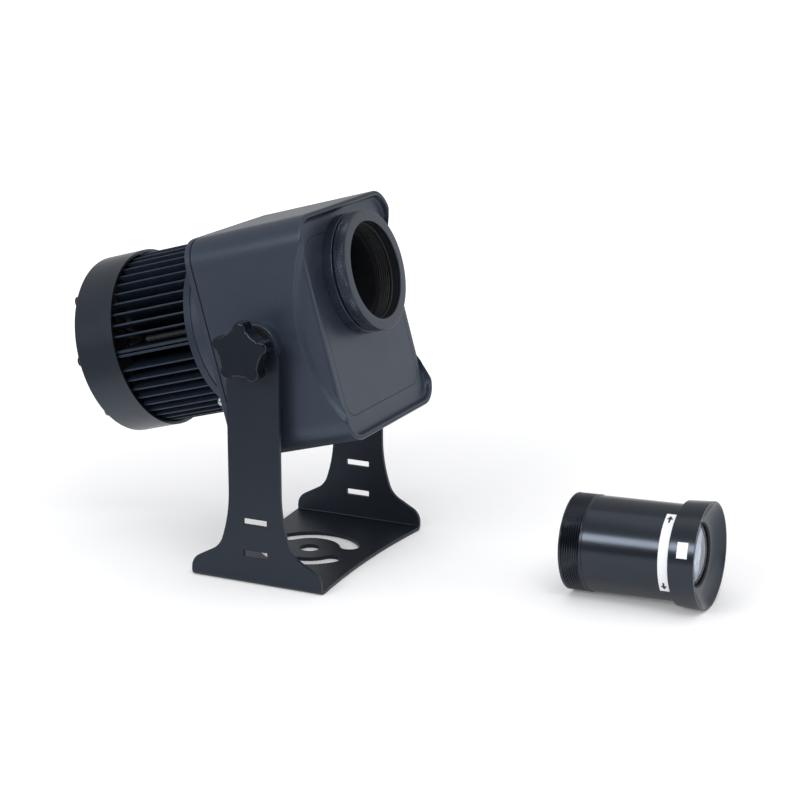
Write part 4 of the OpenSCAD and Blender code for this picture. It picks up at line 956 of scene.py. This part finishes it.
class GOBO_OT_knurled_ring(bpy.types.Operator):
    """Builds the knurled ring that turns on the lens socket."""

    bl_idname = "gobo.knurled_ring"
    bl_label = "Knurled ring"

    def execute(self, context):
        s = socket()
        count = s.knurl_teeth * 4
        edge, back, front = s.ring_radius, s.ring_back, s.ring_front
        knurl_from, knurl_to = back + 0.0009, front - 0.0011
        pitch = FULL_TURN * edge / s.knurl_teeth
        rows = round((knurl_to - knurl_from) / pitch * 4)

        def diamonds(angle, height):
            across = angle * s.knurl_teeth / FULL_TURN
            along = (height - knurl_from) / pitch
            lines = [abs(2 * (way % 1) - 1) for way in (across + along, across - along)]
            return edge - s.knurl_depth * (1 - min(lines))

        behind = (
            (s.nose_radius + 0.0001, back),
            (edge - 0.0005, back),
            (edge - 0.0002, back + 0.0001),
            (edge - 0.0001, back + 0.0004),
            (edge - 0.0001, knurl_from - 0.0001),
        )
        before = (
            (edge - 0.0001, knurl_to + 0.0001),
            (edge - 0.0001, front - 0.0005),
            (edge - 0.00025, front - 0.0002),
            (edge - 0.0005, front - 0.00005),
            (edge - 0.0008, front),
            (s.thread_radius + 0.0007, front),
            (s.thread_radius + 0.0004, front - 0.0003),
            (s.thread_radius + 0.0004, s.ring_lip),
            (s.nose_radius + 0.0001, s.ring_lip),
        )
        rings = rings_of(behind, count)
        for row in range(rows + 1):
            height = knurl_from + (knurl_to - knurl_from) * row / rows
            rings.append(round_ring(lambda angle, h=height: diamonds(angle, h), height, count))
        bm = lofted(rings + rings_of(before, count))
        style = {"limit": 20, "flat_first": False}
        new_piece("knurled_ring", bm, on_lens_axis(), "lens_ring", "black_anodised", ("lens_ring",), **style)
        soft_copy("ring_grub_screws", "lens_ring", 0.00008)
        return {"FINISHED"}


# Knobs and yoke


def knob_outline(angle):
    """Distance from the knob's axis to its outline; a lobe points along angle 0."""
    s = knob_sizes()
    half_step = math.pi / s.lobes
    turn = abs((angle + half_step) % (2 * half_step) - half_step)
    lobe_at = s.radius - s.lobe
    inside = s.lobe**2 - (lobe_at * math.sin(turn)) ** 2
    lobe = lobe_at * math.cos(turn) + math.sqrt(max(inside, 0))
    if turn > 0 and lobe * math.sin(turn) > s.lobe:
        lobe = s.lobe / math.sin(turn)
    lobe = max(lobe, lobe_at)
    to_hollow = half_step - turn
    inside = s.hollow**2 - (s.hollow_at * math.sin(to_hollow)) ** 2
    hollow = s.hollow_at * math.cos(to_hollow) - math.sqrt(inside) if inside > 0 else s.radius
    softness = 0.0012
    return smooth_least(lobe, hollow, softness)


class GOBO_OT_knobs(bpy.types.Operator):
    """Builds the two glossy star knobs with their studs and washers."""

    bl_idname = "gobo.knobs"
    bl_label = "Knobs"

    def knob(self):
        s = knob_sizes()
        count = 160
        bore, stud_end = s.stud + 0.00005, s.front - 0.003
        hub = (
            (bore, s.washer_out),
            (s.hub - 0.0004, s.washer_out),
            (s.hub, s.washer_out + 0.0004),
            (s.hub, s.back - 0.0006),
            (s.hub + 0.0006, s.back),
        )
        rings = rings_of(hub, count)
        for height, share, inset in (
            (s.back, 1.0, 0.0012),
            (s.back + 0.0002, 1.0, 0.0006),
            (s.back + 0.0007, 1.0, 0.0002),
            (s.back + 0.0014, 1.0, 0.0),
            (s.front - 0.0014, 1.0, 0.0),
            (s.front - 0.0009, 1.0, 0.0001),
            (s.front - 0.0005, 1.0, 0.0003),
            (s.front - 0.0002, 1.0, 0.0006),
            (s.front - 0.00005, 1.0, 0.001),
            (s.front, 1.0, 0.0014),
            (s.front, 0.82, 0.0014),
            (s.front, 0.5, 0.0008),
        ):
            rings.append(
                round_ring(lambda angle, k=share, i=inset: knob_outline(angle) * k - i, height, count)
            )
        bm = lofted(rings + rings_of(((0.003, s.front), (0.0, s.front)), count), closed=False)
        hole = rings_of(((bore, s.washer_out), (bore, stud_end), (0.0, stud_end)), count)
        return add_to(bm, lofted(hole, closed=False))

    def execute(self, context):
        s = knob_sizes()
        stud_in = abs(corner("left_stud", False).x)
        for side, label in SIDES:
            body = f"{label}_knob"
            place = outward(side)
            new_piece(f"{label}_star_knob", self.knob(), place, body, "knob_black", (body,), limit=60)
            stud = sleeve(0, s.stud, stud_in, s.front - 0.003, steps=48)
            new_piece(f"{label}_knob_stud", stud, place, body, "zinc_steel", (f"{label}_stud",))
            washer = sleeve(
                s.stud + 0.0002, s.hub + 0.0005, s.washer_out - 0.0012, s.washer_out, 0.00015, 72
            )
            new_piece(f"{label}_knob_washer", washer, place, body, "zinc_steel", (f"{label}_washer",))
        return {"FINISHED"}


class GOBO_OT_yoke(bpy.types.Operator):
    """Builds the bent and cut yoke with the small rounding of its cut edges."""

    bl_idname = "gobo.yoke"
    bl_label = "Yoke"

    def execute(self, context):
        soft_copy("yoke", "yoke", 0.0003)
        dress("friction_washers")
        dress("pivot_inserts")
        return {"FINISHED"}


# Heat sink, shroud and fan


class GOBO_OT_heat_sink(bpy.types.Operator):
    """Builds the extruded heat sink with its fins and slotted screw ribs."""

    bl_idname = "gobo.heat_sink"
    bl_label = "Heat sink"

    def fin(self, thick, angle, aside=0.0):
        """One fin with rounded tips, from inside the core out to the full radius."""
        s = rear()
        start = s.core_radius - 0.001
        base_back = s.sink_front + s.base_thick
        size = (s.sink_radius - start, thick, s.sink_back - base_back + 0.0005)
        bm = block(size, ((s.sink_radius + start) / 2, 0, -(s.sink_back + base_back) / 2 + 0.00025))
        free = [
            e
            for e in bm.edges
            if all(v.co.x > s.sink_radius - 0.0001 for v in e.verts)
            or all(v.co.z < -s.sink_back + 0.0001 for v in e.verts)
        ]
        ease(bm, free, 0.00025, 2)
        return rolled(moved(bm, (0, aside, 0)), angle)

    def execute(self, context):
        s = rear()
        base_back = -(s.sink_front + s.base_thick)
        bm = sleeve(0, s.sink_radius, base_back, -s.sink_front)
        add_to(bm, sleeve(0, s.core_radius, -s.sink_back, base_back, steps=96))
        step = (math.pi / 2 - 2 * s.first_fin) / (s.fins - 1)
        flank = (s.rib_thick - s.rib_slot) / 2
        root_out = s.screw_circle - 0.0016
        deep = s.sink_back + base_back
        for quarter in range(4):
            rib = quarter * math.pi / 2
            for index in range(s.fins):
                add_to(bm, self.fin(s.fin_thick, rib + s.first_fin + step * index))
            for side in (-1, 1):
                add_to(bm, self.fin(flank, rib, side * (s.rib_thick - flank) / 2))
            size = (root_out - s.core_radius, s.rib_slot + 0.0004, deep - 0.0003)
            centre = ((root_out + s.core_radius) / 2, 0, base_back - deep / 2)
            add_to(bm, rolled(block(size, centre), rib))
        new_piece("finned_heat_sink", bm, on_sink_axis(), "head", "sink_anodised", ("heat_sink",))
        soft_copy("tie_screws", "head", 0.0002, "black_steel")
        dress("tie_spacers", "black_steel")
        return {"FINISHED"}


class GOBO_OT_rear_shroud(bpy.types.Operator):
    """Builds the shroud round the fan with its screws and washers."""

    bl_idname = "gobo.rear_shroud"
    bl_label = "Rear shroud"

    def execute(self, context):
        soft_copy("rear_shroud", "head", 0.0003, "shroud_coat")
        soft_copy("shroud_screws", "head", 0.0004)
        soft_copy("shroud_washers", "head", 0.0002)
        return {"FINISHED"}


class GOBO_OT_rear_cover(bpy.types.Operator):
    """Builds the rear cover with its pedestal, gasket, screws and cable gland."""

    bl_idname = "gobo.rear_cover"
    bl_label = "Rear cover"

    def screw_heads(self):
        """Two pan heads beside the pedestal."""
        s = head()
        plate = -s.rear - 0.0047
        beside, below = s.half_width - 0.0035, -0.030
        radius, top = 0.0032, plate - 0.0027
        outline = [
            (0, plate + 0.0004),
            (radius, plate + 0.0004),
            (radius, top + 0.0013),
            (radius - 0.001, top),
            (0, top),
        ]
        bm = bmesh.new()
        for side in (-1, 1):
            add_to(bm, moved(turned(outline, 0.0006, 40), (side * beside, below, 0)))
        return bm

    def execute(self, context):
        soft_copy("rear_cover", "head", 0.0003)
        soft_copy("case_screws", "head", 0.0001)
        new_piece("plate_screw_heads", self.screw_heads(), in_head(), "head", "zinc_steel")
        dress("rear_gasket")
        for node in ("cable_gland", "gland_cap", "gland_seal", "gland_locknut"):
            soft_copy(node, "head", 0.0003)
        return {"FINISHED"}


class GOBO_OT_fan(bpy.types.Operator):
    """Builds the fan: wire guard, moulded frame and rotor with curved blades."""

    bl_idname = "gobo.fan"
    bl_label = "Fan"
    guard_rings = 5
    eye_hole, eye_edge = 0.0023, 0.0045
    blade_thick = 0.0012

    def wire_ring(self, radius, height):
        """One ring of guard wire."""
        upright = Matrix.Translation((radius, 0, height)) @ Matrix.Rotation(math.pi / 2, 4, "X")
        bm = bmesh.new()
        bmesh.ops.create_circle(bm, segments=10, radius=rear().wire / 2, matrix=upright)
        return spun(bm, 96)

    def guard(self):
        s = rear()
        half = s.wire / 2
        height = -s.shroud_back - half
        bm = bmesh.new()
        for index in range(1, self.guard_rings + 1):
            add_to(bm, self.wire_ring((s.duct_radius + 0.0002) * index / self.guard_rings, height))
        reach = s.fan_pitch / math.sqrt(2)
        for quarter in range(4):
            angle = math.pi / 4 + quarter * math.pi / 2
            spoke = rolled(rod(half, s.duct_radius * 0.2, reach - 0.003, 10), math.pi / 2, "Y")
            add_to(bm, moved(rolled(spoke, angle), (0, 0, height)))
            eye = sleeve(self.eye_hole, self.eye_edge, height - half, height + half, 0.0004, 32)
            add_to(bm, moved(eye, (reach * math.cos(angle), reach * math.sin(angle), 0)))
        return bm

    def blade(self, angle):
        """One blade: a twisted, cambered sheet between hub and tip."""
        s = rear()
        root, tip = s.hub_radius - 0.0005, s.duct_radius - 0.001
        front, back = -s.fan_front - 0.0045, -s.fan_back + 0.0025
        bm = bmesh.new()
        made = bmesh.ops.create_grid(bm, x_segments=8, y_segments=8, size=0.5)
        for vert in made["verts"]:
            out, along = vert.co.x + 0.5, vert.co.y + 0.5
            radius = root + (tip - root) * out
            sweep = math.radians(46 - 12 * out) * (along - 0.5) + 0.18 * math.sin(math.pi * along)
            height = front + (back - front) * along
            vert.co = (radius * math.cos(sweep), radius * math.sin(sweep), height)
        bmesh.ops.recalc_face_normals(bm, faces=bm.faces)
        bmesh.ops.solidify(bm, geom=bm.faces[:], thickness=self.blade_thick)
        return rolled(bm, angle)

    def rotor(self):
        s = rear()
        front, back = -s.fan_front - 0.0038, -s.fan_back + 0.002
        shaft, hub, inside = 0.0016, s.hub_radius, s.hub_radius - 0.0015
        floor = back + 0.002
        cup = [(shaft, back), (hub, back), (hub, front), (inside, front), (inside, floor), (shaft, floor)]
        bm = turned(cup, 0.0004, 72)
        for index in range(s.blades):
            add_to(bm, self.blade(FULL_TURN * index / s.blades))
        return bm

    def execute(self, context):
        place = on_sink_axis()
        new_piece("wire_guard", self.guard(), place, "head", slot_of("fan_guard"), ("fan_guard",))
        new_piece("bladed_rotor", self.rotor(), place, "fan_rotor", slot_of("fan_rotor"), ("fan_rotor",))
        soft_copy("fan_frame", "head", 0.0003)
        soft_copy("fan_screws", "head", 0.0003)
        dress("fan_bearing")
        dress("fan_shaft")
        return {"FINISHED"}


class GOBO_OT_inner_parts(bpy.types.Operator):
    """Gives the lamp, condenser, gobo and driver inside the head their finishes."""

    bl_idname = "gobo.inner_parts"
    bl_label = "Inner parts"
    light_trap = ("gobo_carrier", "gobo_clip", "condenser_tube")
    optics = ("gobo_disc", "condenser_rear_lens", "condenser_spacer", "condenser_front_lens", "led_emitter")
    boards = ("led_board", "driver_board", "driver_transformer", "driver_capacitors", "terminal_block")
    fixings = ("cover_screws", "collar_screws", "condenser_screws", "led_screws", "board_screws")

    def execute(self, context):
        for node in self.light_trap:
            dress(node, "bore_black")
        for node in (*self.optics, *self.boards, *self.fixings, "board_standoffs"):
            dress(node)
        return {"FINISHED"}


# The loose lens


class GOBO_OT_lens_barrel(bpy.types.Operator):
    """Builds the loose lens's tube with its screw thread."""

    bl_idname = "gobo.lens_barrel"
    bl_label = "Lens barrel"

    def execute(self, context):
        s = lens()
        count = 160
        end = s.length - s.cone - 0.004
        shoulder = s.thread_length
        before = ((s.bore, 0), (s.thread_radius - s.thread_cut, 0))
        thread = threaded_rings(
            s.thread_radius - 0.00002, -s.thread_cut, socket().thread_pitch, 0.0004, shoulder - 0.0009, count
        )
        behind = (
            (s.thread_radius, shoulder - 0.0007),
            (s.thread_radius, shoulder - 0.0003),
            (s.tube_radius, shoulder),
            (s.tube_radius, shoulder + 0.0004),
            (s.tube_radius, end),
            (s.bore, end),
        )
        bm = lofted(rings_of(before, count) + thread + rings_of(behind, count))
        place = in_loose_lens()
        piece = new_piece(
            "lens_tube", bm, place, "lens", "black_anodised", ("lens_barrel",), "loose_anodised"
        )
        # The tube's bore gets the bore's black, which paints in its shade
        paint_shade_inside(piece, place, s.bore + 0.0005)
        return {"FINISHED"}


class GOBO_OT_lens_front_ring(bpy.types.Operator):
    """Builds the flared front ring with its dished cone and retaining ring."""

    bl_idname = "gobo.lens_front_ring"
    bl_label = "Lens front ring"

    def execute(self, context):
        s = lens()
        cone_foot = s.length - s.cone
        seat = cone_foot - 0.004
        inner, outer = s.window + 0.0012, s.rim_radius - 0.0011
        low = cone_foot + 0.0004
        shares = [step / 12 for step in range(12, -1, -1)]
        dish = [(inner + (outer - inner) * k, low + (s.length - low) * k**1.7) for k in shares]
        outline = [
            (s.tube_radius + 0.00005, s.tube_length),
            (s.ring_back_radius, s.tube_length),
            (s.rim_radius, s.length),
            *dish,
            (s.window + 0.0008, cone_foot),
            (s.window + 0.0008, cone_foot - 0.0002),
            (s.window, cone_foot - 0.0002),
            (s.window, s.glass_front),
            (s.bore, s.glass_front),
            (s.bore, seat),
            (s.tube_radius + 0.00005, seat),
        ]
        place = in_loose_lens()
        bm = turned(outline, 0.00018, 180)
        piece = new_piece(
            "lens_flared_ring", bm, place, "lens", "black_anodised", ("lens_front_ring",), "loose_anodised"
        )
        # The window's inner wall, spacer and retainer get the bore's black, which paints in their shade
        paint_shade_inside(piece, place, s.window + 0.0010)
        dress("lens_spacer", "bore_black")
        dress("lens_retainer", "bore_black")
        return {"FINISHED"}


class GOBO_OT_lens_glasses(bpy.types.Operator):
    """Builds the two glasses of the loose lens."""

    bl_idname = "gobo.lens_glasses"
    bl_label = "Lens glasses"

    def round_glass(self, front_radius, front_rise, height):
        """A glass domed behind and, within front_radius, in front; its front rim is at this height."""
        s = lens()
        count = 96
        radius, back_rise = s.bore - 0.0001, 0.003
        shares = [row / 10 for row in range(1, 11)]
        behind = [(radius * k, -s.glass_edge - back_rise * (1 - k**2)) for k in (0.0, *shares)]
        before = [(front_radius * k, front_rise * (1 - k**2)) for k in (*shares[::-1], 0.0)]
        return moved(lofted(rings_of([*behind, (radius, 0.0), *before], count), False), (0, 0, height))

    def execute(self, context):
        s = lens()
        place = in_loose_lens()
        front = self.round_glass(s.window - 0.0002, 0.0038, s.glass_front - 0.0001)
        new_piece("front_glass", front, place, "lens", "clear_glass", ("lens_front_glass",))
        second = self.round_glass(s.bore - 0.0002, 0.0, s.rear_seat)
        new_piece("rear_glass", second, place, "lens", "clear_glass", ("lens_rear_glass",))
        return {"FINISHED"}


class GOBO_OT_lens_strip(bpy.types.Operator):
    """Lays the white strip with its two arrows and the small blank square on the loose lens."""

    bl_idname = "gobo.lens_strip"
    bl_label = "Lens strip"
    arrow_outline = ((-1.0, 0.2), (-0.15, 0.2), (-0.15, 0.7), (0.85, 0.0))
    arrow_size, arrow_inset, arrow_cuts = 0.0029, 0.14, 8
    strip_turn = (math.radians(112.5), math.radians(214.5))
    square_turn = (math.radians(150), math.radians(167))
    square_reach = (0.0752, 0.0818)

    def wrapped(self, bm, radius, lift):
        """Bends pieces drawn as angle along x and length along y round the lens; radius may be a function."""
        for vert in bm.verts:
            reach = (radius(vert.co.y) if callable(radius) else radius) + lift + vert.co.z
            vert.co = (reach * math.cos(vert.co.x), reach * math.sin(vert.co.x), vert.co.y)
        return bm

    def patch(self, angle_from, angle_to, from_end, to_end, steps):
        bm = bmesh.new()
        made = bmesh.ops.create_grid(bm, x_segments=steps, y_segments=2, size=0.5)
        for vert in made["verts"]:
            across, along = vert.co.x + 0.5, vert.co.y + 0.5
            vert.co.x = angle_from + (angle_to - angle_from) * across
            vert.co.y = from_end + (to_end - from_end) * along
        return bm

    def arrow(self, angle, along, sense, radius):
        """A plain arrow along the strip, drawn from a few points and cut fine enough to bend."""
        bm = bmesh.new()
        size = self.arrow_size
        outline = [*self.arrow_outline, *((x, -y) for x, y in reversed(self.arrow_outline[:-1]))]
        points = [(angle + sense * x * size / radius, along + y * size, 0) for x, y in outline]
        bm.faces.new([bm.verts.new(point) for point in points])
        for step in range(1, self.arrow_cuts):
            everything = bm.verts[:] + bm.edges[:] + bm.faces[:]
            cut = (angle + sense * (2 * step / self.arrow_cuts - 1) * size / radius, 0, 0)
            bmesh.ops.bisect_plane(bm, geom=everything, plane_co=cut, plane_no=(1, 0, 0))
        bmesh.ops.triangulate(bm, faces=bm.faces[:])
        return bm

    def execute(self, context):
        s = lens()
        turn_from, turn_to = self.strip_turn

        def flare(along):
            share = (along - s.tube_length) / (s.length - s.tube_length)
            return s.ring_back_radius + (s.rim_radius - s.ring_back_radius) * share

        strip = self.patch(turn_from, turn_to, s.strip_from, s.strip_to, 48)
        square = self.patch(*self.square_turn, *self.square_reach, 8)
        ink = bmesh.new()
        for at, sense in ((turn_from + self.arrow_inset, -1), (turn_to - self.arrow_inset, 1)):
            add_to(ink, self.arrow(at, (s.strip_from + s.strip_to) / 2, sense, s.tube_radius))
        for name, bm, radius, lift, finish in (
            ("marked_strip", strip, s.tube_radius, 0.00004, "strip_paper"),
            ("strip_arrows", ink, s.tube_radius, 0.00008, "strip_ink"),
            ("blank_square", square, flare, 0.00004, "strip_paper"),
        ):
            bent = self.wrapped(bm, radius, lift)
            new_piece(
                name, bent, in_loose_lens(), "lens", "black_anodised", finish=finish, flat_first=False
            )
        return {"FINISHED"}


# The studio


class GOBO_OT_stage(bpy.types.Operator):
    """Sets up the pale floor, the soft lamps, the white surroundings and the camera."""

    bl_idname = "gobo.stage"
    bl_label = "Studio"
    rear_left = (-0.75, 0.66, 0.0)
    to_camera = (-0.84, -0.487, 0.24)

    def floor(self):
        """A pale floor, lifted to white for the camera and darker for mirrors at the rear left."""
        bm = bmesh.new()
        bmesh.ops.create_grid(bm, x_segments=1, y_segments=1, size=30)
        mesh = bpy.data.meshes.new("studio_floor")
        bm.to_mesh(mesh)
        bm.free()
        piece = bpy.data.objects.new("studio_floor", mesh)
        piece.location.z = -0.00002
        bpy.context.scene.collection.objects.link(piece)
        made = Finish("studio_floor", finish_colours().floor, 0.9).set(Specular_IOR_Level=0.0)
        path = made.node("ShaderNodeLightPath")
        reach = made.node("ShaderNodeVectorMath", operation="LENGTH")
        made.link(made.place, reach.inputs[0])
        far = made.spread(reach.outputs["Value"], 0.10, 0.8, 0.08, 0.42, "SMOOTHSTEP")
        glow = made.node("ShaderNodeEmission")
        made.link(made.product(path.outputs["Is Camera Ray"], far), glow.inputs["Strength"])
        dark = made.spread(made.along(made.place, self.rear_left), 0.12, 0.38, 0.0, 0.62, "SMOOTHSTEP")
        mix = made.node("ShaderNodeMix", data_type="RGBA")
        mix.inputs["A"].default_value = made.base
        mix.inputs["B"].default_value = (0, 0, 0, 1)
        made.link(made.product(dark, path.outputs["Is Glossy Ray"]), mix.inputs["Factor"])
        made.link(mix.outputs["Result"], made.shader.inputs["Base Color"])
        both = made.node("ShaderNodeAddShader")
        made.link(made.shader.outputs["BSDF"], both.inputs[0])
        made.link(glow.outputs["Emission"], both.inputs[1])
        made.link(both.outputs["Shader"], made.tree.nodes["Material Output"].inputs["Surface"])
        mesh.materials.append(made.material)

    def lamp(self, name, place, aim, width, height, radiance):
        """A soft lamp of this brightness, aimed at a point."""
        light = bpy.data.lights.new(name, "AREA")
        light.shape = "RECTANGLE"
        light.size = width
        light.size_y = height
        light.energy = radiance * math.pi * width * height
        lamp = bpy.data.objects.new(name, light)
        lamp.location = place
        lamp.rotation_euler = (Vector(aim) - Vector(place)).to_track_quat("-Z", "Y").to_euler()
        bpy.context.scene.collection.objects.link(lamp)

    def sky(self, world, height, levels):
        """Brightness by height above the horizon, as pairs of sine and level."""
        node = world.node("ShaderNodeFloatCurve")
        curve = node.mapping.curves[0]
        node.mapping.use_clip = False
        for place, level in levels[1:-1]:
            curve.points.new(place, level)
        for point, (place, level) in zip(curve.points, levels):
            point.location = (place, level)
            point.handle_type = "VECTOR"
        node.mapping.update()
        world.link(height, node.inputs["Value"])
        return node.outputs["Value"]

    def blend(self, world, share, first, second):
        """Goes from the first level to the second, which may be a number."""
        mix = world.node("ShaderNodeMix")
        world.link(share, mix.inputs["Factor"])
        world.link(first, mix.inputs["A"])
        if isinstance(second, float):
            mix.inputs["B"].default_value = second
        else:
            world.link(second, mix.inputs["B"])
        return mix.outputs["Result"]

    def surroundings(self):
        """White for the camera, even for diffuse light, and by direction for what shines."""
        scene_world = bpy.data.worlds.new("studio")
        bpy.context.scene.world = scene_world
        scene_world.use_nodes = True
        world = Nodes(scene_world.node_tree)
        path = world.node("ShaderNodeLightPath")
        place = world.node("ShaderNodeTexCoord").outputs["Generated"]
        split = world.node("ShaderNodeSeparateXYZ")
        world.link(place, split.inputs["Vector"])
        up = split.outputs["Z"]
        level = self.sky(world, up, ((0, 0.85), (0.12, 0.8), (0.3, 0.45), (1, 0.55)))
        for toward, start, end, heights in (
            ((0.0, -1.0, 0.0), 0.35, 0.85, ((0, 1.2), (0.25, 1.3), (0.6, 0.8), (1, 0.55))),
            (self.rear_left, -0.1, 0.45, ((0, 0.65), (0.2, 0.5), (0.5, 0.5), (1, 0.6))),
            (self.to_camera, 0.42, 0.75, ((0, 0.12), (0.3, 0.12), (0.6, 0.3), (1, 0.5))),
        ):
            share = world.spread(world.along(place, toward), start, end, 0.0, 1.0, "SMOOTHSTEP")
            level = self.blend(world, share, level, self.sky(world, up, heights))
        level = self.blend(world, path.outputs["Is Diffuse Ray"], level, 0.80)
        level = self.blend(world, path.outputs["Is Camera Ray"], level, 1.0)
        background = world.tree.nodes["Background"]
        world.link(level, background.inputs["Strength"])
        background.inputs["Color"].default_value = (0.985, 0.99, 1.0, 1)

    def camera(self):
        data = bpy.data.cameras.new("camera")
        data.lens = 98.06
        data.sensor_width = 36
        camera = bpy.data.objects.new("camera", data)
        camera.location = (-1.1724, -0.6281, 0.4616)
        camera.rotation_euler = (math.radians(74.81), 0, math.radians(-64.32))
        bpy.context.scene.collection.objects.link(camera)
        bpy.context.scene.camera = camera

    def execute(self, context):
        self.floor()
        self.surroundings()
        self.camera()
        self.lamp("left_softbox", (-1.40, 0.30, 0.80), (0.01, -0.22, 0.03), 0.9, 0.42, 8.0)
        self.lamp("front_softbox", (-0.75, -0.72, 1.25), (-0.06, 0.0, 0.17), 0.8, 0.14, 12.0)
        self.lamp("overhead_softbox", (-0.2, -0.1, 2.0), (-0.05, -0.05, 0), 1.6, 1.6, 0.5)
        context.scene.view_settings.view_transform = "Standard"
        return {"FINISHED"}


PIECES = (
    GOBO_OT_stage,
    GOBO_OT_yoke,
    GOBO_OT_housing,
    GOBO_OT_front_bezel,
    GOBO_OT_front_cover,
    GOBO_OT_lens_socket,
    GOBO_OT_knurled_ring,
    GOBO_OT_knobs,
    GOBO_OT_rear_cover,
    GOBO_OT_heat_sink,
    GOBO_OT_rear_shroud,
    GOBO_OT_fan,
    GOBO_OT_inner_parts,
    GOBO_OT_lens_barrel,
    GOBO_OT_lens_front_ring,
    GOBO_OT_lens_glasses,
    GOBO_OT_lens_strip,
)

GROUPS = {
    "gobo_head": HeadSizes,
    "gobo_socket": SocketSizes,
    "gobo_rear": RearSizes,
    "gobo_knob": KnobSizes,
    "gobo_lens": LensSizes,
    "gobo_finish": FinishColours,
}


class GOBO_PT_panel(bpy.types.Panel):
    """Lists the projector's pieces and sizes."""

    bl_label = "Gobo Projector"
    bl_idname = "GOBO_PT_panel"
    bl_space_type = "VIEW_3D"
    bl_region_type = "UI"
    bl_category = "Gobo Projector"

    def draw(self, context):
        for piece in PIECES:
            self.layout.operator(piece.bl_idname)
        for name, group in GROUPS.items():
            box = self.layout.box()
            for key in group.__annotations__:
                box.prop(getattr(context.scene, name), key)


def classes():
    return (*GROUPS.values(), *PIECES, GOBO_PT_panel)


def register():
    for kind in classes():
        bpy.utils.register_class(kind)
    for name, group in GROUPS.items():
        setattr(bpy.types.Scene, name, bpy.props.PointerProperty(type=group))


def unregister():
    for name in GROUPS:
        delattr(bpy.types.Scene, name)
    for kind in reversed(classes()):
        bpy.utils.unregister_class(kind)


def main():
    register()
    for piece in PIECES:
        group, name = piece.bl_idname.split(".")
        getattr(getattr(bpy.ops, group), name)()


if __name__ == "__main__":
    main()
